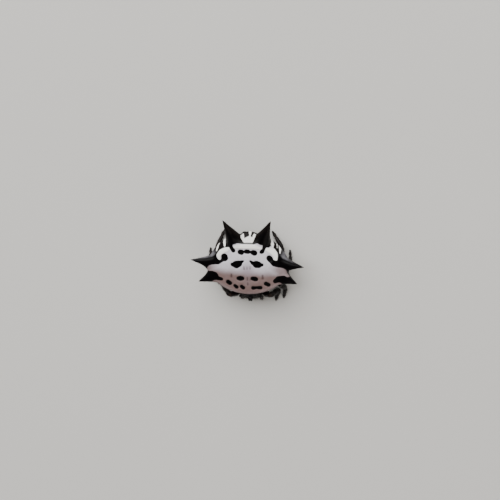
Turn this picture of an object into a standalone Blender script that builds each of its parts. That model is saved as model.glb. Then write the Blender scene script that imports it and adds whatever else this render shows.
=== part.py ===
"""A spiny orb weaver, life size, standing still with its legs drawn in under its back.

Every size here is in millimetres, and MM turns it into Blender's metres. The head faces -Y, the tail spines
point to +Y, and the eight feet stand at z = 0. The abdomen is drawn in a frame of its own, whose origin is
the middle of its back, and which is then pitched and lifted over the head.
"""

import math

import bmesh
import bpy
from mathutils import Matrix, Vector

MM = 0.001

# Driving sizes
SPAN = 12.5
GAP = 0.25
FINE_GAP = 0.12

# The abdomen, in its own frame: x to the animal's left, y to its tail, z out of its back
BACK_PITCH = math.radians(6.0)
BACK_HEIGHT = 4.6
PLATE_MIDDLE_Y = -0.5
HALF_WIDTH = 4.65
HALF_LENGTH = 3.22
OUTLINE_POWER = 1.9
# From the middle of the back, over the rim and round to the belly: the share of the way, then the share of
# the outline's radius, then the height
PROFILE = (
    (0.00, 0.000, 0.20),
    (0.10, 0.250, 0.19),
    (0.20, 0.500, 0.15),
    (0.30, 0.720, 0.07),
    (0.36, 0.835, 0.00),
    (0.40, 0.895, -0.04),
    (0.43, 0.935, -0.13),
    (0.455, 0.953, -0.26),
    (0.475, 0.958, -0.38),
    (0.50, 0.970, -0.55),
    (0.54, 0.990, -0.85),
    (0.58, 0.990, -1.12),
    (0.63, 0.960, -1.40),
    (0.70, 0.860, -1.58),
    (0.78, 0.670, -1.76),
    (0.85, 0.480, -2.35),
    (0.92, 0.280, -3.05),
    (0.97, 0.120, -3.34),
    (1.00, 0.000, -3.40),
)
REAR_BULGE = 0.95
BELLY_SHIFT = 0.9
FRONT_LIFT = 0.24
DIMPLE_DEPTH = 0.09
SPINE_POWER = 1.35
SPINE_CROWDING = 1.7
ABDOMEN_DETAIL = 7
ABDOMEN_TRIANGLES = 4200

# Each spine: the bearing and rise of its root on the abdomen, its root's radius, and its tip
SPINES = {
    "middle": {"bearing": 8.0, "rise": 3.0, "root": 0.85, "tip": (SPAN / 2, 0.1, -0.1)},
    "front": {"bearing": -16.0, "rise": 3.0, "root": 0.9, "tip": (5.42, -2.2, -0.3)},
    "rear": {"bearing": 62.0, "rise": -2.0, "root": 1.08, "tip": (2.61, 5.28, 0.5)},
}
# How far forward or back each side's spine tips stand from the mean, as on the real animal
TIP_DRIFT = {"middle": 0.17, "front": 0.03, "rear": 0.0}

# The sunken spots of the back, one side: x, y, half width, half length, turn in degrees
SPOTS = (
    (0.71, 1.61, 0.36, 0.30, 0),
    (0.0, 1.70, 0.20, 0.17, 0),
    (1.66, 1.80, 0.24, 0.32, 25),
    (2.58, 0.83, 0.38, 0.42, 0),
    (1.08, 0.17, 0.60, 0.36, 8),
    (0.80, -1.50, 0.38, 0.27, -6),
    (2.17, -2.18, 0.34, 0.26, -30),
    (1.37, -2.64, 0.26, 0.24, 0),
    (0.585, -2.72, 0.27, 0.24, 0),
    (3.00, -1.66, 0.34, 0.28, -10),
)

# The head and chest
CARAPACE_MIDDLE_Y = -3.0
CARAPACE_HALF_LENGTH = 1.35
CARAPACE_HALF_WIDTH = 1.45
CARAPACE_TOP = 2.62
CARAPACE_RIM = 1.85
CARAPACE_FLOOR = 1.64
HEAD_HALF_WIDTH = 1.18
HEAD_FRONT_Y = CARAPACE_MIDDLE_Y - CARAPACE_HALF_LENGTH
# How square the chest and the head are in plan: the smaller, the squarer
CHEST_SQUARENESS = 0.75
HEAD_SQUARENESS = 0.55
STERNUM_MIDDLE_Y = -2.55
STERNUM_HALF_LENGTH = 0.95
STERNUM_HALF_WIDTH = 0.70
STERNUM_UNDERSIDE = 0.80
STERNUM_TOP = CARAPACE_FLOOR - GAP

# The mouthparts: the two endites and the lip between them
MOUTH_Y = -3.93
ENDITE = {"across": 0.20, "top": 1.24, "length": 0.46, "radii": (0.19, 0.17)}
LIP = {"behind": 0.06, "top": 1.18, "length": 0.32, "radii": (0.20, 0.14)}

# The fang bases, which hang from the head's front, and the fangs folded under them
FANG_BASE = {"across": 0.335, "ahead": 0.10, "length": 0.78, "radii": (0.26, 0.20)}
FANG = {"inwards": 0.16, "backwards": 0.08, "drop": 0.24, "radii": (0.11, 0.04)}

# The eyes: half the width, depth and height of each knob, and its beads as (across, up, radius)
MIDDLE_KNOB = (0.28, 0.17, 0.24)
MIDDLE_EYES = ((0.13, 0.09, 0.085), (-0.13, 0.09, 0.085), (0.11, -0.10, 0.09), (-0.11, -0.10, 0.09))
CORNER_KNOB = (0.17, 0.13, 0.15)
CORNER_EYES = ((0.06, 0.04, 0.075), (-0.06, -0.04, 0.075))

# The hard ring under the belly, and the six spinnerets in it, in pairs: the bearing from the side, the
# distance from the middle, and the length
RING = {"height": 0.34, "lean": 0.04, "radii": (0.58, 0.52)}
SPINNERETS = ((-62, 0.30, 0.50), (0, 0.24, 0.36), (62, 0.30, 0.46))
SPINNERET_RADII = (0.17, 0.10)
SPINNERET_LEAN = 0.08

# The stalk between the chest and the abdomen
STALK = {"length": 0.40, "drop": 0.10, "radii": (0.30, 0.26), "waist": -0.12}

# The legs
COXA_HEIGHT = 1.12
TIP_RADIUS = 0.13
TIP_HEIGHT = 0.15
LEG_SIDES = 8
# How far apart the rings of a leg are, and how many times its bends are eased
STEP_LENGTH = 0.42
ROUNDINGS = 2

# The bones of a leg: radius at its start, its thickest place and its end, as shares of the leg's girth
BONES = (
    ("coxa", 0.78, 0.90, 0.80),
    ("femur", 0.72, 1.05, 0.80),
    ("patella", 0.78, 0.92, 0.80),
    ("tibia", 0.78, 0.90, 0.72),
    ("metatarsus", 0.70, 0.72, 0.62),
    ("tarsus", 0.62, 0.58, 0.40),
)
# Each pair: where its hip is on the chest plate's edge and which way it points, both in degrees from
# the side and to the tail, its girth, and the lengths of its six bones in the order of BONES
LEG_PAIRS = {
    1: {"hip": (-56, -35), "girth": 0.35, "bones": (1.00, 1.95, 0.70, 1.29, 1.15, 0.62)},
    2: {"hip": (-19, -16), "girth": 0.34, "bones": (0.75, 2.10, 0.62, 1.09, 1.05, 0.57)},
    3: {"hip": (17, 14), "girth": 0.29, "bones": (0.75, 1.94, 0.60, 1.23, 1.08, 0.57)},
    4: {"hip": (54, 44), "girth": 0.34, "bones": (0.75, 2.60, 0.70, 1.21, 1.52, 0.70)},
}
# How each leg is held: the femur's bearing and rise, the foot's place, and how far the knee leans over
STANCE = {
    (1, 1): {"femur": (11, 61), "foot": (2.65, -5.12), "lean": -135},
    (1, -1): {"femur": (5, 65), "foot": (-3.05, -4.36), "lean": 85},
    (2, 1): {"femur": (20, 34), "foot": (3.54, -4.80), "lean": -120},
    (2, -1): {"femur": (30, 36), "foot": (-3.35, -3.80), "lean": 112},
    (3, 1): {"femur": (26, 30), "foot": (4.26, 0.70), "lean": 105},
    (3, -1): {"femur": (22, 22), "foot": (-4.87, 0.69), "lean": -90},
    (4, 1): {"femur": (20, 24), "foot": (2.25, 2.85), "lean": 115},
    (4, -1): {"femur": (16, 22), "foot": (-3.26, 2.89), "lean": -115},
}

# The left feeler from its root to its tip: how far out, how far ahead of the mouth, height, radius
PALP = (
    (0.66, 0.18, 0.96, 0.15),
    (0.83, 0.36, 1.00, 0.18),
    (0.99, 0.55, 1.03, 0.18),
    (1.10, 0.73, 0.97, 0.18),
    (1.13, 0.85, 0.80, 0.17),
    (1.10, 0.88, 0.60, 0.15),
    (1.04, 0.84, 0.42, 0.10),
)


def clear_scene():
    for obj in list(bpy.data.objects):
        bpy.data.objects.remove(obj, do_unlink=True)


def material(name, colour, roughness):
    made = bpy.data.materials.new(name)
    made.use_nodes = True
    shader = made.node_tree.nodes["Principled BSDF"]
    shader.inputs["Base Color"].default_value = (*colour, 1.0)
    shader.inputs["Roughness"].default_value = roughness
    shader.inputs["Metallic"].default_value = 0.0
    return made


def add_node(name, data, finish, body):
    """An object of this mesh or curve, which is already in metres and in place."""
    obj = bpy.data.objects.new(name, data)
    bpy.context.scene.collection.objects.link(obj)
    data.materials.append(finish)
    obj.parent = body
    return obj


def smoothstep(x):
    x = min(1.0, max(0.0, x))
    return x * x * (3 - 2 * x)


def power(x, exponent):
    """A signed power, for rounded boxes."""
    return math.copysign(abs(x) ** exponent, x)


def face_outwards(bm):
    bmesh.ops.recalc_face_normals(bm, faces=bm.faces)
    if bm.calc_volume(signed=True) < 0:
        bmesh.ops.reverse_faces(bm, faces=bm.faces)


def mesh_from(bm, name):
    """The mesh of bm, facing outwards and turned from millimetres to metres."""
    face_outwards(bm)
    mesh = bpy.data.meshes.new(name)
    bm.to_mesh(mesh)
    bm.free()
    mesh.transform(Matrix.Scale(MM, 4))
    mesh.shade_smooth()
    return mesh


def moulded_ball(detail, shape):
    """A closed bmesh: each point of a unit ball moved to shape(its direction)."""
    bm = bmesh.new()
    bmesh.ops.create_icosphere(bm, subdivisions=detail, radius=1.0)
    for vert in bm.verts:
        vert.co = shape(vert.co.normalized())
    return bm


def thinned(bm, triangles):
    """bm with about this many triangles, which stay where the form needs them."""
    whole = bpy.data.meshes.new("whole")
    bm.to_mesh(whole)
    bm.free()
    helper = bpy.data.objects.new("whole", whole)
    bpy.context.scene.collection.objects.link(helper)
    collapse = helper.modifiers.new("Thin", "DECIMATE")
    collapse.ratio = triangles / len(whole.polygons)
    graph = bpy.context.evaluated_depsgraph_get()
    lighter = bmesh.new()
    lighter.from_object(helper, graph)
    bpy.data.objects.remove(helper, do_unlink=True)
    bpy.data.meshes.remove(whole)
    return lighter


def keep_largest_surface(bm):
    """Drops every closed surface of bm but the one with the most faces."""
    left = set(bm.faces)
    surfaces = []
    while left:
        surface, edge_of_search = set(), [left.pop()]
        while edge_of_search:
            face = edge_of_search.pop()
            surface.add(face)
            near = {other for edge in face.edges for other in edge.link_faces}
            edge_of_search.extend(near & left)
            left -= near
        surfaces.append(surface)
    largest = max(surfaces, key=len)
    scraps = [face for face in bm.faces if face not in largest]
    bmesh.ops.delete(bm, geom=scraps, context="FACES")


def joined(parts, name):
    """One closed mesh from bmeshes that overlap, fused by a Boolean union, in metres."""
    pieces = bpy.data.collections.new(name + "_pieces")
    bpy.context.scene.collection.children.link(pieces)
    made = []
    for bm in parts:
        mesh = bpy.data.meshes.new(name)
        face_outwards(bm)
        bm.to_mesh(mesh)
        bm.free()
        made.append(bpy.data.objects.new(name + "_piece", mesh))
    first, others = made[0], made[1:]
    bpy.context.scene.collection.objects.link(first)
    for obj in others:
        pieces.objects.link(obj)
    union = first.modifiers.new("Union", "BOOLEAN")
    union.operation = "UNION"
    union.operand_type = "COLLECTION"
    union.collection = pieces
    union.solver = "EXACT"
    fused = bmesh.new()
    fused.from_object(first, bpy.context.evaluated_depsgraph_get())
    for obj in made:
        bpy.data.objects.remove(obj, do_unlink=True)
    bpy.data.collections.remove(pieces)
    keep_largest_surface(fused)
    return mesh_from(fused, name)


# The abdomen


def back_frame():
    """The matrix from the abdomen's own frame to the animal's."""
    lift = Matrix.Translation((0, 0, BACK_HEIGHT))
    return lift @ Matrix.Rotation(BACK_PITCH, 4, "X")


def plate_edge(bearing):
    """The plate's outline at this bearing, from the middle of the plate."""
    cos, sin = math.cos(bearing), math.sin(bearing)
    across = (abs(cos) / HALF_WIDTH) ** OUTLINE_POWER
    along = (abs(sin) / HALF_LENGTH) ** OUTLINE_POWER
    radius = (across + along) ** (-1 / OUTLINE_POWER)
    return Vector((radius * cos, radius * sin, 0))


def profile_at(way):
    """The share of the outline's radius and the height at this share of the way to the belly."""
    last = len(PROFILE) - 2
    i = next((k for k in range(last) if way < PROFILE[k + 1][0]), last)
    before, start, end, after = (PROFILE[min(max(k, 0), last + 1)] for k in range(i - 1, i + 3))
    t = (way - start[0]) / (end[0] - start[0])
    values = []
    for column in (1, 2):
        start_slope = (end[column] - before[column]) / (end[0] - before[0])
        end_slope = (after[column] - start[column]) / (after[0] - start[0])
        if i == 0 and column == 2:
            start_slope = 0.0
        if i == last and column == 2:
            end_slope = 0.0
        step = end[0] - start[0]
        values.append(
            (2 * t**3 - 3 * t**2 + 1) * start[column]
            + (t**3 - 2 * t**2 + t) * step * start_slope
            + (3 * t**2 - 2 * t**3) * end[column]
            + (t**3 - t**2) * step * end_slope
        )
    return max(0.0, values[0]), values[1]


def spot_depth(x, y):
    """How deep the back is sunk at this place, by the nearest of its spots."""
    depth = 0.0
    for spot_x, spot_y, half_width, half_length, turn in SPOTS:
        angle = math.radians(turn)
        dx, dy = abs(x) - spot_x, y - spot_y
        along = dx * math.cos(angle) + dy * math.sin(angle)
        across = dy * math.cos(angle) - dx * math.sin(angle)
        reach = math.hypot(along / half_width, across / half_length)
        depth = max(depth, DIMPLE_DEPTH * smoothstep((1.15 - reach) / 0.5))
    return depth


def abdomen_skin(direction):
    """The abdomen without its spines: a flat-topped plate over a wall, a thin lip and a deep belly."""
    plan = math.hypot(direction.x, direction.y)
    bearing = math.atan2(direction.y, direction.x)
    edge = plate_edge(bearing)
    way = math.atan2(plan, direction.z) / math.pi
    reach, z = profile_at(way)
    belly = smoothstep((way - 0.66) / 0.24)
    bulge = REAR_BULGE * max(0.0, math.sin(bearing)) * smoothstep((way - 0.46) / 0.12) * reach**2
    x = edge.x * reach
    y = PLATE_MIDDLE_Y + edge.y * reach + bulge * (1 - belly) + BELLY_SHIFT * belly
    if direction.z > 0:
        z -= spot_depth(x, y)
    else:
        front = max(0.0, -math.sin(bearing)) * reach
        z += FRONT_LIFT * front * smoothstep((way - 0.5) / 0.12) * (1 - belly)
    return Vector((x, y, z))


def spine_roots():
    """For each of the six spines: its root's direction and place, its radius and its tip."""
    roots = []
    for name, spine in SPINES.items():
        for side in (1, -1):
            bearing, rise = math.radians(spine["bearing"]), math.radians(spine["rise"])
            level = math.cos(rise)
            direction = Vector(
                (side * level * math.cos(bearing), level * math.sin(bearing), math.sin(rise))
            )
            tip = Vector(spine["tip"])
            tip.x *= side
            tip.y -= side * TIP_DRIFT[name]
            roots.append((direction, abdomen_skin(direction), spine["root"], tip))
    return roots


def abdomen_shape(roots):
    """A function that gives the abdomen's surface, drawn out into its spines, for a direction."""

    def shape(direction):
        for root_direction, root, radius, _ in roots:
            share = (abdomen_skin(direction) - root).length / radius
            if share < 1:
                pull = share ** (SPINE_CROWDING - 1)
                direction = root_direction.lerp(direction, pull).normalized()
                break
        point = abdomen_skin(direction)
        grown = point.copy()
        for _, root, radius, tip in roots:
            share = (point - root).length / radius
            if share < 1:
                grown += (tip - root) * (1 - share) ** SPINE_POWER
        return back_frame() @ grown

    return shape


def make_abdomen(finish, body):
    ball = moulded_ball(ABDOMEN_DETAIL, abdomen_shape(spine_roots()))
    return add_node("abdomen", mesh_from(thinned(ball, ABDOMEN_TRIANGLES), "abdomen"), finish, body)


def tapered(base, tip, base_radius, tip_radius, sides=12, swell=0.12):
    """A closed round spindle from base to tip, as a bmesh."""
    bm = bmesh.new()
    axis = tip - base
    length = axis.length
    bmesh.ops.create_cone(
        bm, cap_ends=True, segments=sides, radius1=1, radius2=1, depth=1,
        matrix=Matrix.Translation((0, 0, 0.5)),
    )
    bmesh.ops.subdivide_edges(
        bm, edges=[e for e in bm.edges if abs(e.verts[0].co.z - e.verts[1].co.z) > 0.5], cuts=4
    )
    for vert in bm.verts:
        t = vert.co.z
        radius = base_radius + (tip_radius - base_radius) * t
        radius *= 1 + swell * math.sin(math.pi * t)
        if t < 0.01 or t > 0.99:
            radius *= 0.82
        vert.co = Vector((vert.co.x * radius, vert.co.y * radius, t * length))
    turn = axis.to_track_quat("Z", "Y").to_matrix().to_4x4()
    bm.transform(Matrix.Translation(base) @ turn)
    return bm


def make_spinnerets(finish, body):
    """The hard ring under the belly, and the six spinnerets that it holds."""
    belly_y = PLATE_MIDDLE_Y + BELLY_SHIFT
    belly_z = PROFILE[-1][2]
    ring_top = Vector((0, belly_y, belly_z - GAP))
    frame = back_frame()
    ring_foot = ring_top + Vector((0, RING["lean"], -RING["height"]))
    parts = [tapered(frame @ ring_top, frame @ ring_foot, *RING["radii"], 16, 0.04)]
    for angle, offset, length in SPINNERETS:
        for side in (1, -1):
            bearing = math.radians(angle)
            out = Vector((side * math.cos(bearing), math.sin(bearing), 0))
            root = ring_top + out * offset + Vector((0, 0, -0.16))
            tip = root - out * SPINNERET_LEAN + Vector((0, 0, -length))
            parts.append(tapered(frame @ root, frame @ tip, *SPINNERET_RADII, 8))
    return add_node("spinnerets", joined(parts, "spinnerets"), finish, body)


# The head and chest


def carapace_shape(direction):
    """A high, squarish head that falls to a broad chest."""
    squareness = CHEST_SQUARENESS + (HEAD_SQUARENESS - CHEST_SQUARENESS) * smoothstep(-2 * direction.y)
    x = power(direction.x, squareness)
    y = power(direction.y, squareness)
    forward = smoothstep((-y - 0.05) / 0.75)
    half_width = CARAPACE_HALF_WIDTH + (HEAD_HALF_WIDTH - CARAPACE_HALF_WIDTH) * forward
    place = Vector((x * half_width, CARAPACE_MIDDLE_Y + y * CARAPACE_HALF_LENGTH, 0))
    if direction.z < 0:
        place.z = CARAPACE_RIM + (CARAPACE_RIM - CARAPACE_FLOOR) * power(direction.z, 0.5)
        return place
    height = CARAPACE_TOP - CARAPACE_RIM
    chest = 0.62 + 0.38 * smoothstep((0.35 - y) / 0.7)
    neck = 0.10 * math.exp(-(((y - 0.12 - 0.25 * abs(x)) / 0.12) ** 2))
    place.z = CARAPACE_RIM + height * (chest * power(direction.z, 0.75) - neck * direction.z)
    return place


def make_carapace(finish, body):
    ball = thinned(moulded_ball(5, carapace_shape), 800)
    return add_node("carapace", mesh_from(ball, "carapace"), finish, body)


def sternum_shape(direction):
    """A shield, widest ahead of its middle and pointed behind."""
    x, y, z = (power(part, 0.8) for part in direction)
    half_width = STERNUM_HALF_WIDTH * (1 - 0.35 * smoothstep(y))
    middle = (STERNUM_TOP + STERNUM_UNDERSIDE) / 2
    half_height = (STERNUM_TOP - STERNUM_UNDERSIDE) / 2
    return Vector(
        (x * half_width, STERNUM_MIDDLE_Y + y * STERNUM_HALF_LENGTH, middle + z * half_height)
    )


def make_sternum(finish, body):
    ball = moulded_ball(3, sternum_shape)
    return add_node("sternum", mesh_from(ball, "sternum"), finish, body)


def make_pedicel(finish, body):
    """The narrow stalk from the chest's rear to the abdomen."""
    chest_rear = Vector((0, CARAPACE_MIDDLE_Y + CARAPACE_HALF_LENGTH, CARAPACE_RIM - 0.02))
    start = chest_rear + Vector((0, GAP + 0.06, 0))
    end = start + Vector((0, STALK["length"], -STALK["drop"]))
    stalk = tapered(start, end, *STALK["radii"], 12, STALK["waist"])
    return add_node("pedicel", mesh_from(stalk, "pedicel"), finish, body)


def make_mouthparts(finish, body):
    """The two endites and the lip between them, one small plate behind the fangs."""
    parts = []
    for side in (1, -1):
        root = Vector((side * ENDITE["across"], MOUTH_Y, ENDITE["top"]))
        end = root + Vector((side * 0.01, -0.02, -ENDITE["length"]))
        parts.append(tapered(root, end, *ENDITE["radii"], 10))
    lip = Vector((0, MOUTH_Y + LIP["behind"], LIP["top"]))
    parts.append(tapered(lip, lip + Vector((0, -0.01, -LIP["length"])), *LIP["radii"], 8))
    return add_node("mouthparts", joined(parts, "mouthparts"), finish, body)


def make_chelicera(name, side, finish, body):
    """A stout fang base that hangs from the head's front, with its fang folded inwards."""
    root = Vector((side * FANG_BASE["across"], HEAD_FRONT_Y - FANG_BASE["ahead"], CARAPACE_FLOOR - FINE_GAP))
    knuckle = root + Vector((-side * 0.03, -0.05, -FANG_BASE["length"]))
    parts = [tapered(root, knuckle, *FANG_BASE["radii"], 14, 0.14)]
    fang_root = knuckle + Vector((side * 0.04, 0.02, 0.10))
    fang_tip = fang_root + Vector((-side * FANG["inwards"], FANG["backwards"], -FANG["drop"]))
    parts.append(tapered(fang_root, fang_tip, *FANG["radii"], 8))
    return add_node(name, joined(parts, name), finish, body)


def eye_cluster(name, middle, facing, knob_half, beads, finish, body):
    """A low knob with eyes set in it, facing outwards. Each bead: across, up, radius."""
    place = Matrix.Translation(middle) @ facing.to_track_quat("Y", "Z").to_matrix().to_4x4()
    knob = moulded_ball(2, lambda d: Vector((part * half for part, half in zip(d, knob_half))))
    knob.transform(place)
    parts = [knob]
    for across, up, radius in beads:
        off_centre = (across / knob_half[0]) ** 2 + (up / knob_half[2]) ** 2
        forward = knob_half[1] * math.sqrt(max(0.05, 1 - off_centre))
        bead = moulded_ball(2, lambda d, r=radius: d * r)
        bead.transform(place @ Matrix.Translation((across, forward, up)))
        parts.append(bead)
    return add_node(name, joined(parts, name), finish, body)


def make_eyes(finish, body):
    """Four eyes on a knob in the middle of the head's front, and two on each front corner."""
    front = Vector((0, HEAD_FRONT_Y - 0.25, CARAPACE_RIM + 0.32))
    eye_cluster("eyes_middle", front, Vector((0, -1, 0.1)), MIDDLE_KNOB, MIDDLE_EYES, finish, body)
    for side_name, side in (("left", 1), ("right", -1)):
        corner = Vector((side * (HEAD_HALF_WIDTH - 0.04), HEAD_FRONT_Y + 0.05, CARAPACE_RIM + 0.18))
        facing = Vector((side * 0.75, -0.66, 0.1))
        eye_cluster("eyes_" + side_name, corner, facing, CORNER_KNOB, CORNER_EYES, finish, body)


# The legs


def elbow(start, end, first, second, lean):
    """Where two bones of these lengths meet between start and end, bent upwards and leaned over by lean."""
    chord = end - start
    reach = min(chord.length, 0.995 * (first + second))
    along = (first**2 - second**2 + reach**2) / (2 * reach)
    rise = math.sqrt(max(0.0, first**2 - along**2))
    axis = chord.normalized()
    up = (Vector((0, 0, 1)) - axis * axis.z).normalized()
    up.rotate(Matrix.Rotation(lean, 3, axis))
    return start + axis * along + up * rise


def rounded_path(corners):
    """Points along a polyline whose corners are rounded off: (point, bone number, share of the bone)."""
    path = []
    for bone, (start, end) in enumerate(zip(corners, corners[1:])):
        steps = max(2, round((end - start).length / STEP_LENGTH))
        path.extend((start.lerp(end, step / steps), bone, step / steps) for step in range(steps))
    path.append((corners[-1], len(corners) - 2, 1.0))
    for _ in range(ROUNDINGS):
        inner = [
            ((before[0] + 2 * here[0] + after[0]) / 4, *here[1:])
            for before, here, after in zip(path, path[1:], path[2:])
        ]
        path = [path[0], *inner, path[-1]]
    return path


def bone_radius(bone, share, girth):
    _, start, middle, end = BONES[bone]
    if share < 0.4:
        return girth * (start + (middle - start) * math.sin(share / 0.4 * math.pi / 2))
    return girth * (middle + (end - middle) * smoothstep((share - 0.4) / 0.6))


def heading(bearing, rise, side):
    bearing, rise = math.radians(bearing), math.radians(rise)
    level = math.cos(rise)
    return Vector((side * level * math.cos(bearing), level * math.sin(bearing), math.sin(rise)))


def leg_corners(pair, side):
    """The joints of one leg, from its hip under the chest to its foot on the floor."""
    sizes, pose = LEG_PAIRS[pair], STANCE[pair, side]
    place, way = sizes["hip"]
    round_edge = math.radians(place)
    edge = Vector(
        (
            side * STERNUM_HALF_WIDTH * math.cos(round_edge),
            STERNUM_MIDDLE_Y + STERNUM_HALF_LENGTH * math.sin(round_edge),
            COXA_HEIGHT,
        )
    )
    hip = edge + heading(way, 0, side) * GAP
    coxa, femur, patella, tibia, metatarsus, tarsus = sizes["bones"]
    joint = hip + heading(way, 0, side) * coxa
    knee = joint + heading(*pose["femur"], side) * femur
    foot = Vector((*pose["foot"], 0))
    foot_top = foot + Vector((0, 0, TIP_HEIGHT))
    shank = patella + tibia
    lower = metatarsus + tarsus
    ankle = elbow(knee, foot_top, shank, lower, math.radians(pose["lean"]))
    patella_end = knee.lerp(ankle, patella / shank)
    patella_end.z += 0.05
    tarsus_start = ankle.lerp(foot_top, metatarsus / lower)
    return [hip, joint, knee, patella_end, ankle, tarsus_start, foot_top, foot]


def make_leg(pair, side_name, side, finish, body):
    """One leg as a tube that swells and narrows with its bones, and ends in a small flat on the floor."""
    corners = leg_corners(pair, side)
    girth = LEG_PAIRS[pair]["girth"]
    path = rounded_path(corners[:-1])
    stations = [(point, bone_radius(bone, share, girth)) for point, bone, share in path]
    stations.append((corners[-1], TIP_RADIUS))
    curve = bpy.data.curves.new("leg", "CURVE")
    curve.dimensions = "3D"
    curve.bevel_mode = "ROUND"
    curve.bevel_depth = MM
    curve.bevel_resolution = (LEG_SIDES - 4) // 2
    curve.use_fill_caps = True
    spline = curve.splines.new("POLY")
    spline.points.add(len(stations) - 1)
    for target, (point, radius) in zip(spline.points, stations):
        target.co = (*(point * MM), 1.0)
        target.radius = radius
    return add_node(f"leg_{pair}_{side_name}", curve, finish, body)


def make_pedipalp(name, side, finish, body):
    """The short feeler beside the mouth, with its tip hanging clear of the floor."""
    curve = bpy.data.curves.new(name, "CURVE")
    curve.dimensions = "3D"
    curve.bevel_depth = MM
    curve.bevel_resolution = (LEG_SIDES - 4) // 2
    curve.use_fill_caps = True
    spline = curve.splines.new("POLY")
    spline.points.add(len(PALP) - 1)
    for target, (across, forward, height, radius) in zip(spline.points, PALP):
        place = Vector((side * across, MOUTH_Y - forward, height)) * MM
        target.co = (*place, 1.0)
        target.radius = radius
    return add_node(name, curve, finish, body)


def stand_on_origin(body):
    """Moves the whole animal so that the middle of its outline in plan is over the origin."""
    bpy.context.view_layer.update()
    graph = bpy.context.evaluated_depsgraph_get()
    corners = []
    for obj in bpy.context.scene.objects:
        if obj.type == "EMPTY":
            continue
        mesh = obj.evaluated_get(graph).to_mesh()
        corners.extend(obj.matrix_world @ vert.co for vert in mesh.vertices)
        obj.evaluated_get(graph).to_mesh_clear()
    for axis in (0, 1):
        values = [corner[axis] for corner in corners]
        body.location[axis] = -(min(values) + max(values)) / 2


def main():
    clear_scene()
    body = bpy.data.objects.new("spider", None)
    bpy.context.scene.collection.objects.link(body)
    back_white = material("back_white", (0.72, 0.69, 0.68), 0.35)
    horn_black = material("horn_black", (0.012, 0.010, 0.012), 0.28)
    leg_black = material("leg_black", (0.018, 0.013, 0.012), 0.38)
    belly_dark = material("belly_dark", (0.030, 0.022, 0.020), 0.45)
    eye_black = material("eye_black", (0.004, 0.004, 0.005), 0.06)

    make_abdomen(back_white, body)
    make_spinnerets(belly_dark, body)
    make_pedicel(belly_dark, body)
    make_carapace(horn_black, body)
    make_sternum(belly_dark, body)
    make_mouthparts(belly_dark, body)
    make_eyes(eye_black, body)
    for side_name, side in (("left", 1), ("right", -1)):
        make_chelicera("chelicera_" + side_name, side, horn_black, body)
        make_pedipalp("pedipalp_" + side_name, side, leg_black, body)
        for pair in LEG_PAIRS:
            make_leg(pair, side_name, side, leg_black, body)
    stand_on_origin(body)


main()
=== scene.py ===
"""The looks of a life-size spiny orb weaver that stands on a pale floor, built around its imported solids.

Shapes are worked out in millimetres, as in the part's own source, and MM turns them into metres at the end.
The head faces -Y, the tail spines point to +Y, and the feet stand at z = 0.
"""

import math
import random

import bmesh
import bpy
import numpy as np
from bpy.props import FloatProperty, FloatVectorProperty, IntProperty, PointerProperty
from bpy.types import Operator, Panel, PropertyGroup
from mathutils import Matrix, Vector, noise


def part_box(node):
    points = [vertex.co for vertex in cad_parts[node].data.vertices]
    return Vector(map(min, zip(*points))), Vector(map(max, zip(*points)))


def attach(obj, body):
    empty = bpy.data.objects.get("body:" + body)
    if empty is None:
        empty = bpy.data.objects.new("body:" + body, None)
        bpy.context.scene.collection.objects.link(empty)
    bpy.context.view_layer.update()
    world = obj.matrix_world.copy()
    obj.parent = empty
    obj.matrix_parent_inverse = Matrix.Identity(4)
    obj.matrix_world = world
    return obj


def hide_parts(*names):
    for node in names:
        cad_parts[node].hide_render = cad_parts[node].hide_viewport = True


bl_info = {
    "name": "Spiny Orb Weaver",
    "version": (1, 0, 0),
    "blender": (4, 5, 0),
    "location": "View3D > Sidebar > Spider",
    "description": "Builds a life-size spiny orb weaver as a museum model",
    "category": "Object",
}

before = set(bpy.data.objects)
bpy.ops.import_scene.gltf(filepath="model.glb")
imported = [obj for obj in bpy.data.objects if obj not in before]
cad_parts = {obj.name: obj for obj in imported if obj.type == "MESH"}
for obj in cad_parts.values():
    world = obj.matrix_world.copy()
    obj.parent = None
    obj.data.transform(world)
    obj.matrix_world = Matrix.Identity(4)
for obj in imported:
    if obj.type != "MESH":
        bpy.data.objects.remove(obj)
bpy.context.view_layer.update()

MM = 0.001
BODY = "root"
SIDES = (("left", 1), ("right", -1))

# The abdomen's main sizes, as in the solids, in its own frame: x to the animal's left, y to its tail, z up
BACK_PITCH = math.radians(6.0)
BACK_HEIGHT = 4.6
PLATE_MIDDLE_Y = -0.5
HALF_WIDTH = 4.65
HALF_LENGTH = 3.22
OUTLINE_POWER = 1.9
# From the middle of the back, over the rim and round to the belly: the share of the way, then the share of
# the outline's radius, then the height
PROFILE = (
    (0, 0, 0.2), (0.1, 0.25, 0.19), (0.2, 0.5, 0.15), (0.3, 0.72, 0.07), (0.36, 0.835, 0),
    (0.4, 0.895, -0.04), (0.43, 0.935, -0.13), (0.455, 0.953, -0.26), (0.475, 0.958, -0.38),
    (0.5, 0.97, -0.55), (0.54, 0.99, -0.85), (0.58, 0.99, -1.12), (0.63, 0.96, -1.4), (0.7, 0.86, -1.58),
    (0.78, 0.67, -1.76), (0.85, 0.48, -2.35), (0.92, 0.28, -3.05), (0.97, 0.12, -3.34), (1, 0, -3.4),
)
REAR_BULGE = 0.95
BELLY_SHIFT = 0.9
FRONT_LIFT = 0.24
# To unroll the wall and belly: millimetres for the whole way, and the radius of each
WAY_LENGTH = 6.0
WALL_RADIUS = 3.3
BELLY_RADIUS = 1.8
SPINE_POWER = 1.35
SPINE_CROWDING = 1.9

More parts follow.
